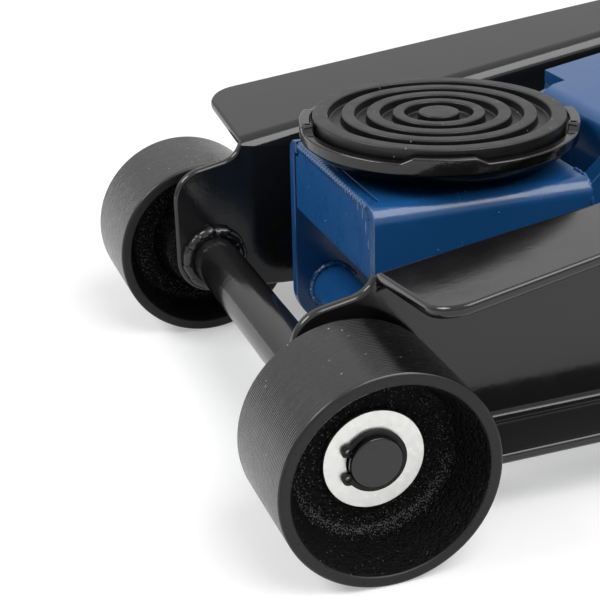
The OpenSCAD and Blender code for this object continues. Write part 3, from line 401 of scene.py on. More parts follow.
def weigh_edges(mesh, width, corner, least=SMALLEST_SHARE, rise=0.4):
    """An edge with little room beside it, or one that meets a hollow edge, gets a smaller round."""
    bm = bmesh.new()
    bm.from_mesh(mesh)
    layer = bm.edges.layers.float.new("bevel_weight_edge")
    sharp = [e for e in bm.edges if len(e.link_faces) == 2 and e.calc_face_angle(0.0) >= corner]
    hollow = {vertex for edge in sharp if not edge.is_convex for vertex in edge.verts}
    for edge in sharp:
        run, room = (edge.verts[1].co - edge.verts[0].co).normalized(), width
        for vertex in edge.verts:
            for other in vertex.link_edges:
                way = (other.other_vert(vertex).co - vertex.co).normalized()
                if other is not edge and abs(way.dot(run)) < 0.9:
                    room = min(room, other.calc_length())
        edge[layer] = least if hollow.intersection(edge.verts) else max(least, room / width)
    for _ in range(8):
        for edge in sharp:
            around = {other for vertex in edge.verts for other in vertex.link_edges}
            beside = [other[layer] for other in around if other[layer] > 0]
            edge[layer] = min(edge[layer], min(beside) + rise * edge.calc_length() / width)
    bm.to_mesh(mesh)
    bm.free()


print("smallest share of the width:", SMALLEST_SHARE)

# %% [markdown]
# The enamel is glossy, so the smallest tilt of a face shows. A bevel moves some corners off the sheet that
# they belong to, and plain smooth shading lets the rounds darken the flat beside them. The corners are put
# back into their sheet, and each shading normal is a mean in which large faces count most.

# %% Flat sheet and soft rounds
def sheet_planes(mesh, smallest_mm2=40):
    """Facing and level of each large flat face."""
    return [(face.normal.copy(), face.center.dot(face.normal)) for face in mesh.polygons
            if face.area > smallest_mm2 * MM * MM]


def flatten_sheets(mesh, planes, smallest_mm2=40, reach_mm=1.5):
    """Vertices that a bevel left just off a large flat face go back into the plane it had before."""
    def gap(face, normal, level):
        heights = sorted(mesh.vertices[v].co.dot(normal) for v in face.vertices)
        return abs(heights[len(heights) // 2] - level)
    for face in mesh.polygons:
        facing = [plane for plane in planes if plane[0].dot(face.normal) > 0.9985]
        if face.area < smallest_mm2 * MM * MM or not facing:
            continue
        normal, level = min(facing, key=lambda plane: gap(face, *plane))
        for v in face.vertices:
            off = mesh.vertices[v].co.dot(normal) - level
            if abs(off) < reach_mm * MM:
                mesh.vertices[v].co -= normal * off
    mesh.update()


def shade_by_area(mesh, corner=55):
    """Corner normals are means weighted by squared area: flat sheet stays flat and rounds blend into it."""
    around = [[] for _ in mesh.vertices]
    for face in mesh.polygons:
        for v in face.vertices:
            around[v].append(face.index)
    normals = [face.normal.copy() for face in mesh.polygons]
    weights = [max(face.area, 1e-12) ** 2 for face in mesh.polygons]
    limit = math.cos(math.radians(corner))
    shades = []
    for face in mesh.polygons:
        own = normals[face.index]
        for v in face.vertices:
            total = Vector((0, 0, 0))
            for other in around[v]:
                if normals[other].dot(own) > limit:
                    total += normals[other] * weights[other]
            shades.append(total.normalized() if total.length > 0 else own)
    mesh.normals_split_custom_set(shades)


plate = merged_copy("side_plate_left")
print("a side plate has", len(sheet_planes(plate)), "large flat faces")

# %% [markdown]
# The width of each round follows the piece: about 2 mm where the side plates are pressed, about half a
# millimetre on cut plate, and a tenth on spring rings. Wide rounds are weighted by room, narrow ones only
# stop where they would meet. A vertex that a bevel has thrown off the piece is put back on its surface.

# %% Rounding the pieces
def eased(node, width_mm, steps=3, corner=30):
    narrow = width_mm < WIDE_ROUND
    obj = link(node + "_eased", merged_copy(node))
    bevel = obj.modifiers.new("edge", "BEVEL")
    bevel.width = width_mm * MM
    bevel.segments = steps
    bevel.limit_method = "ANGLE" if narrow else "WEIGHT"
    bevel.angle_limit = math.radians(corner)
    if not narrow:
        weigh_edges(obj.data, width_mm * MM, math.radians(corner))
    bevel.use_clamp_overlap = narrow
    bevel.miter_outer = "MITER_ARC"
    planes = sheet_planes(obj.data)
    before = BVHTree.FromPolygons([v.co.copy() for v in obj.data.vertices],
                                  [list(f.vertices) for f in obj.data.polygons])
    obj = baked(obj, node + "_eased", 60)
    for vertex in obj.data.vertices:
        spot, _, _, away = before.find_nearest(vertex.co)
        if away > 0.8 * width_mm * MM:
            vertex.co = spot
    flatten_sheets(obj.data, planes)
    shade_by_area(obj.data)
    return settle(obj, node)


WIDE_ROUND = 1.3
ROUNDS = {
    1.9: "side_plate_left side_plate_right",
    1.5: "arm_top_plate",
    1.2: "pump_block",
    0.9: "saddle_yoke",
    0.8: "handle_socket arm_front_pin arm_pivot_shaft",
    0.7: "filler_plug",
    0.6: "arm_side_plates arm_forks ram_levers link_left link_right caster_plates rear_crossmember "
         "ram_eye reservoir_tube ram_lever_pin",
    0.5: "link_cross_bar link_anchor_pins gland_nut pump_gland pump_plunger",
    0.4: "rear_cover caster_fork_left caster_fork_right arm_pivot_tube ram_cylinder tie_rod "
         "handle_lower handle_upper handle_cross_pin",
    0.35: "yoke_front_plate",
    0.3: "axle_spacers release_valve release_coupling ram_piston ram_rod",
    0.25: "axle_washers",
    0.12: "axle_circlips arm_front_clips link_bar_clips"}
eased_pieces = {node: eased(node, width) for width, nodes in ROUNDS.items() for node in nodes.split()}
# The front plate and cross bar take the lighter, nearly shineless copy: painted light.
for node in ("yoke_front_plate", "link_cross_bar"):
    dress(eased_pieces[node], BLUE_LIT_COPY)
eased_faces = sum(len(o.data.polygons) for o in eased_pieces.values())
print("eased", len(eased_pieces), "pieces,", eased_faces, "faces")

# %% [markdown]
# ## Turned and cast rounds
# A wheel, a saddle and a pad are all bodies of revolution. A Screw modifier could spin them, but the saddle's
# tabs and the corners of a hexagon change round the turn, so the rings are built in a loop. An outline is
# drawn as radius and height pairs, rounded where a lathe tool or a mould would round it, and spun into a
# closed mesh.

# %% Outlines and revolving
def corner_arc(cx, cy, r, start, end, steps=5):
    turns = [math.radians(start + (end - start) * i / steps) for i in range(steps + 1)]
    return [(cx + r * math.cos(a), cy + r * math.sin(a)) for a in turns]


def finer(outline, step):
    points = []
    for i, a in enumerate(outline):
        b = outline[(i + 1) % len(outline)]
        pieces = max(1, math.ceil(math.dist(a, b) / step))
        points += [(a[0] + (b[0] - a[0]) * k / pieces, a[1] + (b[1] - a[1]) * k / pieces)
                   for k in range(pieces)]
    return points


def mesh_from(bm, name):
    mesh = bpy.data.meshes.new(name)
    bm.to_mesh(mesh)
    bm.free()
    return mesh


def revolved(name, turns, ring_at):
    """ring_at(angle) gives the closed outline at that angle, as places in metres."""
    bm = bmesh.new()
    rings = [[bm.verts.new(place) for place in ring_at(2 * math.pi * k / turns)] for k in range(turns)]
    for k, a in enumerate(rings):
        b = rings[(k + 1) % turns]
        for i in range(len(a)):
            j = (i + 1) % len(a)
            bm.faces.new((a[i], a[j], b[j], b[i]))
    bmesh.ops.remove_doubles(bm, verts=bm.verts, dist=0.001 * MM)
    bmesh.ops.delete(bm, geom=[e for e in bm.edges if not e.link_faces], context="EDGES")
    bmesh.ops.recalc_face_normals(bm, faces=bm.faces)
    return mesh_from(bm, name)


def spun(name, outline, place, turns=128, axis="Z"):
    """outline: (radius, height) in millimetres, closed; place(x, y, z) puts a point in the frame."""
    def ring_at(a):
        spots = [(r * math.cos(a), r * math.sin(a), h) for r, h in outline]
        return [place(u, v, h) if axis == "Z" else place(u, h, v) for u, v, h in spots]
    return link(name, revolved(name, turns, ring_at))


print("a quarter arc of 5 mm:", [(round(x, 2), round(y, 2)) for x, y in corner_arc(0, 0, 5, 0, 90, 3)])

# %% [markdown]
# The wheel is one iron casting: a wide barrel, a thin rim ring, a deep dish on each side and a hub. Only
# the barrel and the rim rings are machined, so they are smooth and the dishes are grainy. A bump alone
# would leave the dish's edges too clean, so its vertices are also pushed in and out along their normals.

# %% Front wheels
wheel_low, wheel_high = node_mm("front_wheel_right")
WHEEL_IN, WHEEL_OUT = wheel_low[1], wheel_high[1]
WIDTH = WHEEL_OUT - WHEEL_IN
BORE = 11.06
WALL = 5.4
RIM_IN, RIM_OUT = WHEEL_R - 5.0, WHEEL_R - 0.4


def roughen(obj, depth_mm, grain_mm, where, seed=0.0):
    """Pushes vertices along their normals by noise; where(position) gives 0 to 1."""
    mesh = obj.data
    normals = [v.normal.copy() for v in mesh.vertices]
    for vertex, normal in zip(mesh.vertices, normals):
        amount = where(vertex.co)
        if amount > 0:
            p = vertex.co / (grain_mm * MM) + Vector((seed, seed, seed))
            value = noise.noise(p) + 0.5 * noise.noise(p * 2.3)
            vertex.co += normal * (value * depth_mm * MM * amount)


def wheel_outline():
    rim, dish_out, dish_in = 1.3, 22, 19
    inner = WHEEL_R - WALL
    inner_dish = (corner_arc(20, 4, 1, -90, 0, 4) + [(24, dish_in - 3.2)]
                  + corner_arc(27.2, dish_in - 3.2, 3.2, 180, 90, 6)
                  + corner_arc(inner - 8, dish_in - 4, 4, 90, 15, 7)
                  + [(inner + 0.1, 0.9), (inner + 0.9, 0.1)])
    tread = (corner_arc(WHEEL_R - rim, rim, rim, -90, 0, 6)
             + corner_arc(WHEEL_R - rim, WIDTH - rim, rim, 0, 90, 6))
    outer_dish = ([(inner + 0.9, WIDTH - 0.1), (inner + 0.1, WIDTH - 0.9)]
                  + corner_arc(inner - 10.5, WIDTH - dish_out + 5.5, 5.5, -22, -90, 8))
    return ([(BORE, 3.6), (BORE + 0.6, 3), (20, 3)] + inner_dish + tread + outer_dish
            + [(BORE + 0.5, WIDTH - dish_out)])


def from_axle(p):
    """Radius round the wheel's axle and distance from the jack's middle, in millimetres."""
    return math.hypot(p.x - AXLE_X, p.z - AXLE_Z * MM) / MM, abs(p.y) / MM


def in_dish(p):
    r, y = from_axle(p)
    deep = min(y - WHEEL_IN, WHEEL_OUT - y)
    if r > RIM_IN or r < BORE + 1.5 or deep < 0.6:
        return 0.0
    return min(1.0, (deep - 0.6) / 1.5)


def make_wheel(side, sign):
    wheel = spun("front_wheel_%s_cast" % side, finer(wheel_outline(), 0.85),
                 lambda x, y, z: at(x, sign * (WHEEL_IN + y), AXLE_Z + z), turns=240, axis="Y")
    roughen(wheel, 0.13, 1.6, in_dish, seed=3.7 * sign)
    smooth(wheel, 40)
    settle(wheel, "front_wheel_" + side, TURNED_PAINT)
    wheel.data.materials.append(CAST_SKIN)
    wheel.data.materials.append(RIM_PAINT)
    for face in wheel.data.polygons:
        r, _ = from_axle(face.center)
        if r < RIM_IN:
            face.material_index = 1
        elif r < RIM_OUT and abs(face.normal.y) > 0.5:
            face.material_index = 2
    return wheel


wheels = [make_wheel("right", 1), make_wheel("left", -1)]
print("wheel faces", [len(w.data.polygons) for w in wheels])

# %% [markdown]
# The saddle is a shallow cast dish on a foot. Four low tabs stand on its rim to keep a jacking point from
# sliding off, and the rubber pad inside has raised rings that grip. Tabs could be separate blocks, but they
# are cast in one with the rim, so the spun mesh's rim is lifted where a tab stands and slopes down beside it.

# %% Saddle and pad
SADDLE_X = 84
PAD_TOP = node_mm("saddle_pad")[1][2]
YOKE_TOP = 115
TAB_TURN, TAB_HEIGHT, TAB_FLAT, TAB_SLOPE = -21, 2.6, 13.2, 5.4
CUP_R, FOOT_R, CUP_RIM, CUP_FLOOR, RECESS = 63, 45, 131.4, 127, 58.2


def tab_lift(degrees, radius):
    """How high a tab stands at this angle, from 0 to 1."""
    off = abs((degrees - TAB_TURN + 45) % 90 - 45) * math.pi / 180 * radius
    return max(0.0, min(1.0, (TAB_FLAT + TAB_SLOPE - off) / TAB_SLOPE))


def make_saddle():
    foot = YOKE_TOP + 1.2
    bowl = [(FOOT_R + 1 + (CUP_R - FOOT_R - 2.4) * i / 14, YOKE_TOP + 2.4 + 8 * (i / 14) ** 1.8)
            for i in range(1, 15)]
    outline = ([(1.0, YOKE_TOP - 12), (12, YOKE_TOP - 12), (12, foot), (FOOT_R - 0.8, foot),
                (FOOT_R + 0.4, YOKE_TOP + 1.8)] + bowl
               + corner_arc(CUP_R - 1.5, YOKE_TOP + 12.2, 1.5, -35, 0, 4)
               + corner_arc(CUP_R - 0.8, CUP_RIM - 0.8, 0.8, 0, 90, 5)
               + [(RECESS + 0.9, CUP_RIM)] + corner_arc(RECESS + 0.7, CUP_RIM - 0.7, 0.7, 90, 180, 3)
               + [(RECESS, CUP_FLOOR), (1.0, CUP_FLOOR)])
    saddle = spun("saddle_cup_cast", finer(outline, 1.4), lambda x, y, z: at(SADDLE_X + x, y, z), turns=360)
    for vertex in saddle.data.vertices:
        x, y = vertex.co.x - AXLE_X - SADDLE_X * MM, vertex.co.y
        r, z = math.hypot(x, y) / MM, vertex.co.z / MM
        if r > RECESS - 0.1 and z > CUP_RIM - 1.6:
            share = min(1.0, (z - (CUP_RIM - 1.6)) / 0.8)
            vertex.co.z += share * TAB_HEIGHT * tab_lift(math.degrees(math.atan2(y, x)), r) * MM
    smooth(saddle, 38)
    return settle(saddle, "saddle_cup", SADDLE_CAST)


RIDGES = [(0, 9.3), (15.5, 20.8), (26.5, 32.6), (38.0, 44.0), (50.0, 57.0)]
RIDGE_ROUND, GROOVE_ROUND, GROOVE_DEPTH = 0.8, 0.9, 4.2


def make_pad():
    top, low, c, g = PAD_TOP, PAD_TOP - GROOVE_DEPTH, RIDGE_ROUND, GROOVE_ROUND
    outline = [(0, CUP_FLOOR + 0.05), (0, top), (1.5, top)]
    for start, end in RIDGES:
        if start:
            outline += corner_arc(start - g, low + g, g, -90, 0, 3)
            outline += corner_arc(start + c, top - c, c, 180, 90, 5)
        outline += corner_arc(end - c, top - c, c, 90, 0, 5)
        if end < RIDGES[-1][1]:
            outline += corner_arc(end + g, low + g, g, 180, 270, 3)
    outline += [(56.6, CUP_FLOOR + 0.05)]
    pad = spun("saddle_pad_moulded", finer(outline, 2.0), lambda x, y, z: at(SADDLE_X + x, y, z), turns=192)
    smooth(pad, 40)
    return settle(pad, "saddle_pad")


saddle_pieces = [make_saddle(), make_pad()]
print("saddle faces", [len(p.data.polygons) for p in saddle_pieces])

# %% [markdown]
# The front axle is one turned bar: thick between the plates, with thinner journals for the wheels, a groove
# for each retaining ring and a small chamfer at the ends. Rounding the solid's own edges would break the
# grooves, which are narrower than a bevel, so the bar is spun from an outline of its own.

# %% Front axle
PLATE_IN, PLATE_OUT = 89.4, 94.4
AXLE_R, JOURNAL_R = 11.75, 11.0
GROOVE_BOTTOM = JOURNAL_R - 0.7
AXLE_END = node_mm("front_axle")[1][1]
CLIP_FACE = node_mm("axle_circlips")[1][1]


def make_axle():
    inner, outer = CLIP_FACE - 1.55, CLIP_FACE + 0.05
    half = ([(0, AXLE_END), (5, AXLE_END)] + corner_arc(JOURNAL_R - 1.2, AXLE_END - 1.2, 1.2, 90, 0, 5)
            + [(JOURNAL_R, outer), (GROOVE_BOTTOM, outer), (GROOVE_BOTTOM, inner), (JOURNAL_R, inner),
               (JOURNAL_R, PLATE_IN + 0.2), (AXLE_R, PLATE_IN - 0.3)])
    axle = spun("front_axle_turned", half + [(r, -y) for r, y in half[::-1]],
                lambda x, y, z: at(x, y, AXLE_Z + z), turns=144, axis="Y")
    smooth(axle, 30)
    return settle(axle, "front_axle")


axle_piece = make_axle()
print("axle faces", len(axle_piece.data.polygons), "half length", round(AXLE_END, 2))

# %% [markdown]
# ## Weld beads
# A MIG bead is a row of overlapping frozen puddles. Each could be modelled by hand, but there are nineteen,
# so one Geometry Nodes tree makes any of them: it takes a path, resamples it finely, swells its radius in a
# sawtooth once for each puddle, lets it wander a little by noise and sweeps a circle along it.
# The path is all that changes from joint to joint. Every tree here starts and ends in the same way, so two
# functions open and close one.

# %% Weld bead tree
def new_tree(name, made, *sizes):
    """A Geometry Nodes tree with a named input for each size, and the finish last."""
    tree = bpy.data.node_groups.new(name, "GeometryNodeTree")
    for label, kind, default in sizes + (("Finish", "Material", None),):
        made_input = tree.interface.new_socket(label, in_out="INPUT", socket_type="NodeSocket" + kind)
        if default is not None:
            made_input.default_value = default
    tree.interface.new_socket(made, in_out="OUTPUT", socket_type="NodeSocketGeometry")
    return tree, add(tree, "NodeGroupInput", out=None)


def close_tree(tree, size, shape):
    shape = add(tree, "GeometryNodeRealizeInstances", Geometry=shape)
    shape = add(tree, "GeometryNodeSetMaterial", Geometry=shape, Material=size["Finish"])
    add(tree, "NodeGroupOutput", i0=shape)
    return tree


def bead_tree():
    tree, size = new_tree("weld_bead", "Bead", ("Path", "Geometry", None), ("Bead Radius", "Float", 0.003),
                          ("Puddle Pitch", "Float", 0.002), ("Puddle Depth", "Float", 0.16),
                          ("Wander", "Float", 0.12), ("Seed", "Float", 1.0))
    radius = size["Bead Radius"]
    step = add(tree, "ShaderNodeMath", {"operation": "MULTIPLY"}, i0=radius, i1=0.2)
    path = add(tree, "GeometryNodeMeshToCurve", Mesh=size["Path"])
    path = add(tree, "GeometryNodeResampleCurve", {"mode": "LENGTH"}, Curve=path, Length=step)
    along = add(tree, "GeometryNodeSplineParameter", out="Length")
    spot = add(tree, "ShaderNodeTexNoise", {"noise_dimensions": "4D"}, W=size["Seed"], Scale=190.0,
               Detail=2.0, Vector=add(tree, "GeometryNodeInputPosition"), out=None)
    shaken = add(tree, "ShaderNodeMath", {"operation": "MULTIPLY_ADD"}, i0=spot["Fac"], i1=0.0016, i2=along)
    puddles = add(tree, "ShaderNodeMath", {"operation": "DIVIDE"}, i0=shaken, i1=size["Puddle Pitch"])
    saw = add(tree, "ShaderNodeMath", {"operation": "FRACT"}, i0=puddles)
    dent = add(tree, "ShaderNodeMath", {"operation": "MULTIPLY"}, i0=saw, i1=size["Puddle Depth"])
    full = add(tree, "ShaderNodeMath", {"operation": "SUBTRACT"}, i0=1.0, i1=dent)
    swell = add(tree, "ShaderNodeMath", {"operation": "MULTIPLY"}, i0=full, i1=radius)
    centred = add(tree, "ShaderNodeVectorMath", {"operation": "SUBTRACT"}, i0=spot["Color"],
                  i1=(0.5, 0.5, 0.5))
    reach = add(tree, "ShaderNodeMath", {"operation": "MULTIPLY"}, i0=radius, i1=size["Wander"])
    drift = add(tree, "ShaderNodeVectorMath", {"operation": "SCALE"}, i0=centred, Scale=reach)
    path = add(tree, "GeometryNodeSetPosition", Geometry=path, Offset=drift)
    ring = add(tree, "GeometryNodeCurvePrimitiveCircle", Resolution=14, Radius=1.0)
    bead = add(tree, "GeometryNodeCurveToMesh", Curve=path, Profile_Curve=ring, Scale=swell, Fill_Caps=True)
    return close_tree(tree, size, add(tree, "GeometryNodeSetShadeSmooth", Geometry=bead))


WELD_BEAD = bead_tree()
print("tree", WELD_BEAD.name, [item.name for item in WELD_BEAD.interface.items_tree])

# %% [markdown]
# A path is a plain line of points. The modifier's inputs are set by their identifiers, because Blender
# stores them under those and not under their names. The result is turned into an ordinary mesh, because an
# export drops instances, and it rides on the body that the weld belongs to. The first two beads run all
# round the axle, inside each plate.

# %% Axle welds
def point_mesh(places, joined=False, closed=False):
    """A mesh of bare points in metres, or of points joined into a line."""
    mesh = bpy.data.meshes.new("points")
    last = (len(places) if closed else len(places) - 1) if joined else 0
    mesh.from_pydata([tuple(p) for p in places], [(i, (i + 1) % len(places)) for i in range(last)], [])
    return mesh


def through_tree(name, mesh, tree, values, body, slot):
    obj = link(name, mesh)
    modifier = obj.modifiers.new("tree", "NODES")
    modifier.node_group = tree
    ids = {item.name: item.identifier for item in tree.interface.items_tree if item.in_out == "INPUT"}
    for key, value in {"Finish": FINISH[slot], **values}.items():
        modifier[ids[key]] = value
    obj = baked(obj, name, 50)
    dress(obj, FINISH[slot])
    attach(obj, body)
    return obj


def weld(name, points, body, radius_mm, pitch_mm=2.2, depth=0.16, wander=0.5, closed=False,
         slot="frame_enamel", seed=1.0):
    values = {"Bead Radius": radius_mm * MM, "Puddle Pitch": pitch_mm * MM, "Puddle Depth": depth,
              "Wander": wander, "Seed": seed}
    path = point_mesh([at(*p) for p in points], True, closed)
    return through_tree(name, path, WELD_BEAD, values, body, slot)


def ring_xz(x, z, y, radius, count=72):
    turns = [2 * math.pi * k / count for k in range(count)]
    return [(x + radius * math.cos(a), y, z + radius * math.sin(a)) for a in turns]


welds = []
for side, y, seed in (("right", PLATE_IN - 1.6, 2), ("left", 1.6 - PLATE_IN, 5)):
    welds.append(weld("weld_axle_" + side, ring_xz(0, AXLE_Z, y, AXLE_R + 1.9), "chassis", 3.7, 7.5, 0.2,
                      0.55, closed=True, seed=seed))
print("welds", len(welds), "faces", [len(w.data.polygons) for w in welds])

# %% [markdown]
# ## Nuts and bolts
# A hexagon head is turned from bar and chamfered before six sides are milled, so its corners fall away in
# small arcs. A bevelled prism would not show those arcs. The head is spun from an outline in which every
# point has a kind: round, hexagonal, or hexagonal with that fall.

# %% Fastener outlines
CROWN_FALL = math.tan(math.radians(28))


def turned_mesh(name, outline, turns=96):
    """outline: (radius, height, kind) in millimetres along +Z; kind is o, hex or crown."""
    def ring_at(a):
        wide = math.cos(math.pi / 6) / math.cos((a % (math.pi / 3)) - math.pi / 6)
        ring = []
        for r, h, kind in outline:
            reach = r if kind == "o" else r * wide
            fall = CROWN_FALL * max(0.0, reach - r * 0.87) if kind == "crown" else 0.0
            ring.append((reach * math.cos(a) * MM, reach * math.sin(a) * MM, (h - fall) * MM))
        return ring
    return revolved(name, turns, ring_at)


def hex_head(corner, low, high, shank=None, foot=0.0, washer=None, bore=0.0):
    """A hexagon from low to high, on a washer of (radius, thickness), with a shank down to foot or a bore."""
    if bore:
        points = [(bore, high - 0.6, "o"), (bore, foot, "o")]
    else:
        points = [(0, foot, "o"), (shank - 0.9, foot, "o"), (shank, foot + 0.9, "o"), (shank, 0, "o")]
    if washer:
        r, t = washer
        points += [(r - 0.2, 0, "o"), (r, 0.2, "o"), (r, t - 0.25, "o"), (r - 0.25, t, "o")]
    points += [(corner * 0.85, low, "o"), (corner - 0.15, low, "hex"), (corner, low + 0.3, "hex"),
               (corner, high - 0.25, "crown"), (corner * 0.995, high, "crown"), (corner * 0.86, high, "o")]
    points.append((bore + 0.6, high, "o") if bore else (0, high, "o"))
    return points


BUTTON = ([(0, -13, "o"), (2.4, -13, "o"), (3, -12.4, "o"), (3, 0, "o"), (5.7, 0, "o"), (6, 0.3, "o")]
          + [(6 * math.cos(a), 0.9 + 2.5 * math.sin(a), "o") for a in (0.0, 0.35, 0.7, 1.0, 1.15)]
          + [(2.1, 3.3, "hex"), (2.0, 1.2, "hex"), (0, 1.0, "o")])
AXLE_BOLT = ([(0, -22, "o"), (7.7, -22, "o"), (9, -21.2, "hex"), (9, -17, "hex"), (6, -17, "o"), (6, 17, "o"),
              (8.8, 17, "hex"), (9, 17.2, "hex"), (9, 22.8, "crown"), (7.6, 23, "o"), (6, 23, "o"),
              (6, 20.5, "o"), (0, 20.5, "o")])
print("outline points:", len(BUTTON), "for a cover screw,", len(AXLE_BOLT), "for a caster bolt")

# %% [markdown]
# Fasteners repeat, and no two nuts stop at the same turn. One tree puts a head on every point of a mesh, aims
# it along that point's own direction, and turns it by a seeded random angle.

# %% Fasteners in their places
def fastener_tree():
    tree, size = new_tree("fasteners_on_places", "Fasteners", ("Fastener", "Geometry", None),
                          ("Places", "Object", None), ("Turn Seed", "Int", 1))
    places = add(tree, "GeometryNodeObjectInfo", Object=size["Places"], out="Geometry")
    aim = add(tree, "GeometryNodeInputNamedAttribute", {"data_type": "FLOAT_VECTOR"}, Name="aim")
    look = add(tree, "FunctionNodeAlignRotationToVector", {"axis": "Z"}, Vector=aim)
    turn = add(tree, "FunctionNodeRandomValue", i2=0.0, i3=math.pi / 3, Seed=size["Turn Seed"], out=1)
    spin = add(tree, "FunctionNodeAxisAngleToRotation", Axis=(0, 0, 1), Angle=turn)
    both = add(tree, "FunctionNodeRotateRotation", {"rotation_space": "LOCAL"}, Rotation=look, Rotate_By=spin)
    heads = add(tree, "GeometryNodeInstanceOnPoints", Points=places, Instance=size["Fastener"], Rotation=both)
    return close_tree(tree, size, heads)


FASTENERS = fastener_tree()


def fasten(node, outline, places, seed=1):
    """places: a list of (position in millimetres, direction of the head)."""
    spots = point_mesh([at(*spot) for spot, _ in places])
    aims = spots.attributes.new("aim", "FLOAT_VECTOR", "POINT")
    for item, (_, aim) in zip(aims.data, places):
        item.vector = aim
    marker = link("places", spots)
    obj = through_tree(node + "_set", turned_mesh(node, outline), FASTENERS,
                       {"Places": marker, "Turn Seed": seed}, BODY_OF[node], SLOT_OF[node])
    smooth(obj, 24)
    bpy.data.objects.remove(marker)
    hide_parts(node)
    return obj


def both_sides(x, z, y=PLATE_OUT):
    return [((x, y, z), (0, 1, 0)), ((x, -y, z), (0, -1, 0))]


ARM_PIVOT, SOCKET_PIVOT = (455, 125), (628, 132)
CASTER_X, CASTER_Y, CASTER_Z = 662, 122, 26
NUT_BORE = 12.05
bolts = [
    fasten("arm_pivot_nuts", hex_head(20.5, 2.5, 13, washer=(22, 2.5), bore=NUT_BORE),
           both_sides(*ARM_PIVOT), 3),
    fasten("cover_screws", BUTTON, both_sides(520, 138) + both_sides(583, 138), 5),
    fasten("unit_bolts", hex_head(10.4, 1.5, 8, 5.98, -35, (11, 1.5)),
           both_sides(610, 101.5) + both_sides(633, 101.5), 7),
    fasten("socket_pivot_bolts", hex_head(14, 2, 9, 9, -16.4, (14, 2)), both_sides(*SOCKET_PIVOT), 9),
    fasten("saddle_nut", hex_head(18, 0, 5.7, bore=NUT_BORE), [((SADDLE_X, 0, 103), (0, 0, 1))], 2),
    fasten("relief_valve", hex_head(10, 0, 5, 6, -12), [((629, -44, 58.7), (0, -1, 0))], 4),
    fasten("caster_bolt_right", AXLE_BOLT, [((CASTER_X, CASTER_Y, CASTER_Z), (0, 1, 0))], 6),
    fasten("caster_bolt_left", AXLE_BOLT, [((CASTER_X, -CASTER_Y, CASTER_Z), (0, -1, 0))], 8)]
print("fasteners", {b.name: len(b.data.polygons) for b in bolts})

# %% [markdown]
# ## Return spring of the pump
# The spring is one wire wound round the plunger. A Screw modifier would make it too, but a tree keeps turns,
# radius and height as named sizes. It gets shorter as the plunger goes down, so it does not ride on the
# plunger; it is attached to the chassis body.

# %% Plunger spring
def spring_tree():
    tree, size = new_tree("wound_spring", "Spring", ("Base", "Geometry", None), ("Turns", "Float", 6.5),
                          ("Coil Radius", "Float", 0.0123), ("Wire Radius", "Float", 0.0011),
                          ("Height", "Float", 0.04))
    coil = add(tree, "GeometryNodeCurveSpiral", Resolution=40, Rotations=size["Turns"],
               Start_Radius=size["Coil Radius"], End_Radius=size["Coil Radius"], Height=size["Height"])
    ring = add(tree, "GeometryNodeCurvePrimitiveCircle", Resolution=12, Radius=size["Wire Radius"])
    wire = add(tree, "GeometryNodeCurveToMesh", Curve=coil, Profile_Curve=ring, Fill_Caps=True)
    return close_tree(tree, size, put_on_base(tree, wire, size["Base"]))


def put_on_base(tree, shape, base):
    """Moves the shape to the first point of the base mesh."""
    spot = add(tree, "GeometryNodeSampleIndex", {"data_type": "FLOAT_VECTOR"}, Geometry=base,
               i1=add(tree, "GeometryNodeInputPosition"))
    return add(tree, "GeometryNodeSetPosition", Geometry=shape, Offset=spot)


def make_spring():
    low, high = node_mm("plunger_spring")
    middle, wire = (low[0] + high[0]) / 2, 1.1
    sizes = {"Turns": 6.5, "Coil Radius": (high[0] - low[0]) / 2 * MM - wire * MM, "Wire Radius": wire * MM,
             "Height": (high[2] - low[2] - 2 * wire) * MM}
    spring = through_tree("plunger_spring_wire", point_mesh([at(middle, 0, low[2] + wire)]), spring_tree(),
                          sizes, "chassis", "bright_steel")
    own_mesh(spring)
    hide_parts("plunger_spring")
    return spring


spring_piece = make_spring()
print("spring", spring_piece.name, len(spring_piece.data.polygons), "faces")

# %% [markdown]
# ## Handle grip and caster wheels
# The grip is a rubber sleeve with ribs that a wet hand can hold. The ribs could be part of the sleeve's
# outline, but a tree that repeats one thin ring along a line leaves their number and step as named sizes.
# The handle leans back by 20 degrees, so the ring is aimed along the step.

# %% Handle grip
PIVOT = (SOCKET_PIVOT[0], 0, SOCKET_PIVOT[1])
RISE = math.radians(70)
UP = Vector((math.cos(RISE), 0, math.sin(RISE)))
BACK = Vector((UP.z, 0, -UP.x))


def on_handle(x, y, z):
    """A point in the handle's own frame: z runs up the handle from its pivot."""
    return at(*PIVOT) + (BACK * x + Vector((0, 1, 0)) * y + UP * z) * MM


def rib_tree():
    tree, size = new_tree("ribs_along_a_line", "Ribs", ("Base", "Geometry", None), ("Count", "Int", 20),
                          ("Step", "Vector", (0, 0, 0.005)), ("Radius", "Float", 0.02),
                          ("Rib Radius", "Float", 0.0008))
    line = add(tree, "GeometryNodeMeshLine", {"mode": "OFFSET"}, Count=size["Count"], Offset=size["Step"])
    line = put_on_base(tree, line, size["Base"])
    loop = add(tree, "GeometryNodeCurvePrimitiveCircle", Resolution=64, Radius=size["Radius"])
    bead = add(tree, "GeometryNodeCurvePrimitiveCircle", Resolution=8, Radius=size["Rib Radius"])
    rib = add(tree, "GeometryNodeCurveToMesh", Curve=loop, Profile_Curve=bead)
    rib = add(tree, "GeometryNodeSetShadeSmooth", Geometry=rib)
    look = add(tree, "FunctionNodeAlignRotationToVector", {"axis": "Z"}, Vector=size["Step"])
    ribs = add(tree, "GeometryNodeInstanceOnPoints", Points=line, Instance=rib, Rotation=look)
    return close_tree(tree, size, ribs)


GRIP_END, GRIP_LONG = 885, 140
TUBE_R = 17.05
RIB_COUNT, RIB_STEP = 32, 3.7


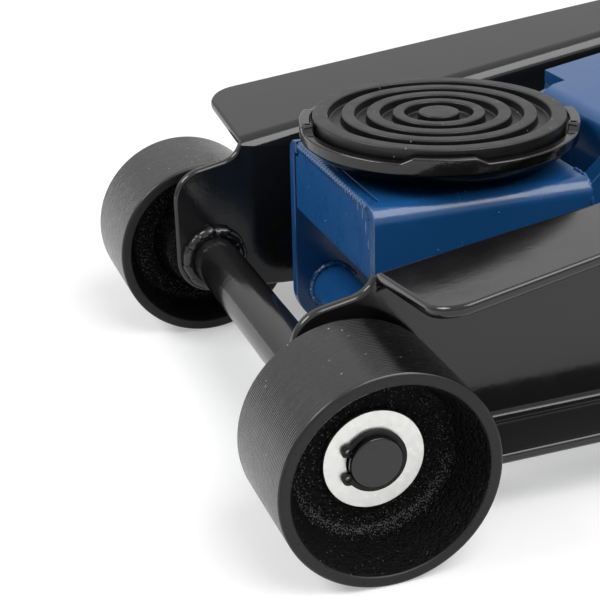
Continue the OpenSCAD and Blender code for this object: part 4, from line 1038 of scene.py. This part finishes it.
def make_grip():
    low = GRIP_END - GRIP_LONG
    outline = ([(TUBE_R, low), (18.9, low), (19.4, low + 0.5), (19.6, low + 9), (19.6, GRIP_END - 14),
                (20.4, GRIP_END - 11), (20.4, GRIP_END - 3)] + corner_arc(17.4, GRIP_END - 3, 3, 0, 90, 6)
               + [(0, GRIP_END), (0, GRIP_END - 4.5), (TUBE_R, GRIP_END - 4.5)])
    sleeve = spun("handle_grip_sleeve", finer(outline, 4), on_handle, turns=96)
    smooth(sleeve, 40)
    settle(sleeve, "handle_grip", GRIP_RUBBER)
    sizes = {"Count": RIB_COUNT, "Step": tuple(UP * RIB_STEP * MM), "Radius": 19.35 * MM,
             "Rib Radius": 1.05 * MM}
    ribs = through_tree("handle_grip_ribs", point_mesh([on_handle(0, 0, low + 8)]), rib_tree(), sizes,
                        "handle", "grip_rubber")
    return [sleeve, ribs]


grip_pieces = make_grip()
print("grip", {o.name: len(o.data.polygons) for o in grip_pieces})

# %% [markdown]
# The casters are moulded nylon: a tread with rounded edges, a web that is set in, and a hub that stands out
# to meet the fork. They are spun like the front wheels, from an outline that is the same on both faces.

# %% Caster wheels
CASTER_WIDE, CASTER_BORE = 24, 6.06


def make_caster_wheel(side, sign):
    half = (corner_arc(10.4, -0.4, 0.6, -90, 0, 3) + [(11.6, 2.2)] + corner_arc(17.5, 3.2, 1, -90, 0, 3)
            + [(18.5, 3.2)] + corner_arc(20.5, 2.6, 0.8, 180, 270, 3) + corner_arc(23, 3, 3, -75, 0, 6))
    outline = ([(CASTER_BORE, -1)] + half + [(r, CASTER_WIDE - h) for r, h in half[::-1]]
               + [(CASTER_BORE, CASTER_WIDE + 1)])
    wheel = spun("caster_wheel_%s_moulded" % side, outline,
                 lambda x, y, z: at(CASTER_X + x, sign * (CASTER_Y - CASTER_WIDE / 2 + y), CASTER_Z + z),
                 turns=120, axis="Y")
    smooth(wheel, 35)
    return settle(wheel, "caster_wheel_" + side)


casters = [make_caster_wheel("right", 1), make_caster_wheel("left", -1)]
print("casters", {o.name: len(o.data.polygons) for o in casters})

# %% [markdown]
# ## Smaller welds
# The yoke's front plate is welded in from above, and the strip that fills the seam was ground back nearly
# flush. Thin beads hold the cross bar, the levers, the cross plates and the handle socket. They all come from
# the one weld tree: only the path and the sizes differ. The ground strip is a bead that is pressed flat
# afterwards, which keeps its ripples where the grinder missed them.

# %% Smaller welds
YOKE_FRONT = 31
SOCKET_FOOT, SOCKET_R = 48.8, 22.0
PIVOT_TUBE_R, TIE_ROD_R, CROSS_BAR_R = 20.9, 7.6, 11.4
TIE_ROD, CROSS_BAR = (380, 50.2), (50, 37)


def line(a, b, count=24):
    a, b = Vector(a), Vector(b)
    return [tuple(a.lerp(b, k / count)) for k in range(count + 1)]


def handle_ring(height, radius, count=48):
    """Points round the handle's own axis, in the part's millimetres."""
    turns = [2 * math.pi * k / count for k in range(count)]
    middle, across = Vector(PIVOT) + UP * height, Vector((0, 1, 0))
    return [tuple(middle + (BACK * math.cos(t) + across * math.sin(t)) * radius) for t in turns]


def ground_flush(obj, top_mm, front_mm, kept_above=0.12, pushed_in=0.85):
    """The strip was ground back: what stands above the sheet or before its edge is pressed almost flat."""
    for vertex in obj.data.vertices:
        over = vertex.co.z - top_mm * MM
        if over > 0:
            vertex.co.z = top_mm * MM + over * kept_above
        before = AXLE_X + front_mm * MM - vertex.co.x
        if before > 0:
            vertex.co.x += before * pushed_in
    return obj


def seam_weld(half=45.6, x=YOKE_FRONT + 3.05, z=YOKE_TOP - 2.6):
    strip = weld("weld_yoke_seam", line((x, -half, z), (x, half, z), 40), "saddle_bracket", 3.2, 3.2, 0.14,
                 0.06, slot="blue_enamel", seed=3)
    return ground_flush(strip, YOKE_TOP - 0.35, YOKE_FRONT + 0.1)


yoke_corner = [(132.5, y, z) for y, z in ((-40, 114.4), (-48, 114.2), (-53.2, 111.8), (-55.2, 106),
                                          (-55.4, 99))]
welds += [
    seam_weld(),
    weld("weld_yoke_rear", yoke_corner, "saddle_bracket", 1.5, 4.0, 0.3, 0.9, slot="blue_enamel", seed=12),
    weld("weld_socket_tube", handle_ring(SOCKET_FOOT, SOCKET_R), "handle_yoke", 2.4, 4.2, 0.22, 0.3,
         True, seed=14)]
for sign, side in ((1, "right"), (-1, "left")):
    for place, y, radius, seed in (("lever_out", 24, 2.1, 21), ("lever_in", 12, 2.1, 22),
                                   ("arm_side", 57, 2.2, 23)):
        path = ring_xz(*ARM_PIVOT, sign * y, PIVOT_TUBE_R)
        welds.append(weld("weld_%s_%s" % (place, side), path, "lift_arm", radius, 3.6, 0.22, 0.3, True,
                          "blue_enamel", seed))
    rail, post = sign * 95.5, sign * 88.5
    welds += [
        weld("weld_tie_rod_" + side, ring_xz(*TIE_ROD, sign * 88.7, TIE_ROD_R), "chassis", 1.7, 3.2, 0.22,
             0.3, True, seed=24),
        weld("weld_caster_plate_" + side, line((650, rail, 90), (684, rail, 90)), "chassis", 2.0, 3.4, 0.22,
             0.3, seed=25),
        weld("weld_crossmember_" + side, line((679.2, post, 90), (679.2, post, 110)), "chassis", 2.0, 3.4,
             0.22, 0.3, seed=26),
        weld("weld_cross_bar_" + side, ring_xz(*CROSS_BAR, sign * 49.2, CROSS_BAR_R), "saddle_bracket", 2.0,
             4.5, 0.3, 0.7, True, "blue_enamel", 5 - sign)]
print("welds", len(welds), "with", sum(len(w.data.polygons) for w in welds), "faces")

# %% [markdown]
# ## Spatter and paint runs
# Drops of weld spatter and thick paint stay on the yoke. A texture could paint them, but they catch the
# light from the side, so they are small balls. A tree puts one on each point, with a random size between two
# limits, and a stretch makes a run out of a drop.

# %% Paint drops
def drop_tree():
    tree, size = new_tree("paint_drops", "Drops", ("Places", "Geometry", None), ("Smallest", "Float", 0.0003),
                          ("Largest", "Float", 0.001), ("Stretch", "Vector", (1, 1, 1)), ("Seed", "Int", 1))
    ball = add(tree, "GeometryNodeMeshIcoSphere", Radius=1.0, Subdivisions=3)
    ball = add(tree, "GeometryNodeSetShadeSmooth", Geometry=ball)
    grow = add(tree, "FunctionNodeRandomValue", i2=size["Smallest"], i3=size["Largest"], Seed=size["Seed"],
               out=1)
    scale = add(tree, "ShaderNodeVectorMath", {"operation": "SCALE"}, i0=size["Stretch"], Scale=grow)
    balls = add(tree, "GeometryNodeInstanceOnPoints", Points=size["Places"], Instance=ball, Scale=scale)
    return close_tree(tree, size, balls)


PAINT_DROPS = drop_tree()


def drops(name, points, small_mm, large_mm, stretch=(1, 1, 1), seed=1):
    sizes = {"Smallest": small_mm * MM, "Largest": large_mm * MM, "Stretch": stretch, "Seed": seed}
    return through_tree(name, point_mesh([at(*p) for p in points]), PAINT_DROPS, sizes, "saddle_bracket",
                        "blue_enamel")


runs = [drops("paint_runs", [(32.1, -44.2, 110), (32.1, -43.6, 103), (32.1, -39.8, 108.6), (32.1, -46.6, 96),
                             (32.1, -34, 110.2)], 0.9, 1.5, (0.45, 1.0, 2.6), 2),
        drops("paint_specks", [(32.1, 31, 97), (32.1, 8, 88), (32.1, -20, 101), (60, -55.9, 93),
                               (88, -55.9, 106)], 0.35, 0.7, seed=5)]
print("drops", {o.name: len(o.data.polygons) for o in runs})

# %% [markdown]
# ## Marks of the casting
# Two tabs of the saddle carry a small raised frame on their sloping end, the foundry's plain locating mark. A
# boolean would break the tab's smooth mesh, so the frame is a closed ring of its own that follows the slope.

# %% Casting marks
MARK_LONG, MARK_WIDE, MARK_HIGH = 2.3, 2.0, 0.55


def make_mark(name, degrees, radius=60.0):
    bm = bmesh.new()
    corners = []
    for sx, sy in ((-1, -1), (1, -1), (1, 1), (-1, 1)):
        row = []
        for wide, high in ((1.0, 0.0), (1.0, MARK_HIGH), (0.62, MARK_HIGH), (0.62, 0.0)):
            r = radius + sy * MARK_WIDE * wide
            turn = math.radians(degrees) + sx * MARK_LONG * wide / radius
            z = CUP_RIM - 0.12 + TAB_HEIGHT * tab_lift(math.degrees(turn), r) + high
            row.append(bm.verts.new(at(SADDLE_X + r * math.cos(turn), r * math.sin(turn), z)))
        corners.append(row)
    for i, row in enumerate(corners):
        after = corners[(i + 1) % 4]
        for k in range(4):
            bm.faces.new((row[k], row[(k + 1) % 4], after[(k + 1) % 4], after[k]))
    bmesh.ops.recalc_face_normals(bm, faces=bm.faces)
    mark = link(name, mesh_from(bm, name))
    dress(mark, SADDLE_CAST)
    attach(mark, "saddle")
    return mark


marks = [make_mark("saddle_mark_1", 171), make_mark("saddle_mark_2", -33)]
print("marks", {o.name: len(o.data.polygons) for o in marks})

# %% [markdown]
# ## Floor and sky
# A pale floor that runs up into a pale sky gives the clean white surround of a product picture, and it is
# what the enamel mirrors. A real backdrop would need strong lamps to go white. Here the floor shines only
# for rays that come from the camera or from a gloss, and keeps the jack's shadow. The walls shine for those
# rays too, and dimly for all others, which keeps the shadows from going black.

# %% Floor and sky
FLOOR_REACH = 14
GLOW_MIDDLE = (-0.3, 0, 0)
GLOW_FROM, GLOW_FULL, GLOW_LEAST = 0.45, 1.6, 0.36
WALL_LOW, WALL_RISE, FILL = 0.6, 0.6, 0.22


def make_floor():
    mesh = bpy.data.meshes.new("floor")
    corners = [(x * FLOOR_REACH, y * FLOOR_REACH, 0) for x, y in ((-1, -1), (1, -1), (1, 1), (-1, 1))]
    mesh.from_pydata(corners, [], [(0, 1, 2, 3)])
    floor = link("floor", mesh)
    material, tree, shader = new_material("matt_white_floor", "#dcdcdc", 0.9, shine=0.0)
    shader["Emission Color"].default_value = (1, 1, 1, 1)
    place = add(tree, "ShaderNodeTexCoord", out="Object")
    out = add(tree, "ShaderNodeVectorMath", {"operation": "DISTANCE"}, i0=place, i1=GLOW_MIDDLE, out="Value")
    far = add(tree, "ShaderNodeMapRange", {"interpolation_type": "SMOOTHSTEP"}, i0=out, i1=GLOW_FROM,
              i2=GLOW_FULL, i3=GLOW_LEAST, i4=1.0)
    path = add(tree, "ShaderNodeLightPath", out=None)
    seen = add(tree, "ShaderNodeMath", {"operation": "MAXIMUM"}, i0=path["Is Camera Ray"],
               i1=path["Is Glossy Ray"])
    seen = add(tree, "ShaderNodeMath", {"operation": "MAXIMUM"}, i0=seen, i1=path["Is Transmission Ray"])
    add(tree, "ShaderNodeMath", {"operation": "MULTIPLY"}, i0=far, i1=seen, into=shader["Emission Strength"])
    mesh.materials.append(material)


def make_sky():
    """Studio walls: dim at the horizon, brighter towards the ceiling."""
    world = bpy.data.worlds.new("studio")
    bpy.context.scene.world = world
    world.use_nodes = True
    tree = world.node_tree
    tree.nodes.clear()
    up = add(tree, "ShaderNodeSeparateXYZ", Vector=add(tree, "ShaderNodeTexCoord", out="Generated"), out="Z")
    wall = add(tree, "ShaderNodeMapRange", i0=up, i1=0.0, i2=WALL_RISE, i3=WALL_LOW, i4=1.0)
    path = add(tree, "ShaderNodeLightPath", out=None)
    mirrored = add(tree, "ShaderNodeMath", {"operation": "MAXIMUM"}, i0=path["Is Glossy Ray"],
                   i1=path["Is Transmission Ray"])
    dim = add(tree, "ShaderNodeMapRange", i0=mirrored, i1=0.0, i2=1.0, i3=FILL, i4=wall)
    strength = add(tree, "ShaderNodeMath", {"operation": "MAXIMUM"}, i0=dim, i1=path["Is Camera Ray"])
    background = add(tree, "ShaderNodeBackground", Color=(1, 1, 1, 1), Strength=strength)
    add(tree, "ShaderNodeOutputWorld", Surface=background)


make_floor()
make_sky()
print("world", bpy.context.scene.world.name, "with", len(bpy.context.scene.world.node_tree.nodes), "nodes")

# %% [markdown]
# ## Lamps
# A studio would light black enamel with large soft boxes, because small lamps make hard white dots on it. One
# hangs over the jack's near side and one stands in front of it, and both are area lamps, whose edges give
# the long soft highlights on the rounds.

# %% Soft boxes
def soft_lamp(name, place, aim, width, height, power):
    light = bpy.data.lights.new(name, "AREA")
    light.shape = "RECTANGLE"
    light.size = width
    light.size_y = height
    light.energy = power
    lamp = link(name, light)
    lamp.location = place
    lamp.rotation_euler = (Vector(aim) - Vector(place)).to_track_quat("-Z", "Y").to_euler()


soft_lamp("overhead_softbox", (0.085, -0.84, 1.47), (-0.37, 0, 0.1), 1.5, 1.2, 28)
soft_lamp("front_softbox", (-1.75, 0.3, 1.5), (-0.4, 0, 0.1), 1.1, 0.7, 23)

# %% [markdown]
# ## Camera
# The camera stands to the left of the front wheels and looks across and down at them, with a long lens that
# keeps the plates nearly parallel. A target object could aim it, but three angles also give the small roll,
# so its matrix is built from the directions forward, right and up.

# %% Camera
EYE = (-187.448, -620.146, 337.454)
TURN, DOWN, ROLL = 0.317, 0.409, -0.026
LENS_MM = 93.138


def make_camera():
    forward = Vector((math.sin(TURN) * math.cos(DOWN), math.cos(TURN) * math.cos(DOWN), -math.sin(DOWN)))
    right = forward.cross(Vector((0, 0, 1))).normalized()
    up = right.cross(forward)
    right, up = (right * math.cos(ROLL) + up * math.sin(ROLL), up * math.cos(ROLL) - right * math.sin(ROLL))
    data = bpy.data.cameras.new("camera")
    data.sensor_width = 36
    data.lens = LENS_MM
    data.clip_start = 0.01
    camera = link("camera", data)
    turn = Matrix((right, up, -forward)).transposed().to_4x4()
    camera.matrix_world = Matrix.Translation(at(*EYE)) @ turn
    bpy.context.scene.camera = camera


make_camera()
bpy.context.scene.view_settings.view_transform = "Standard"
print("camera", [round(c, 3) for c in bpy.context.scene.camera.location])
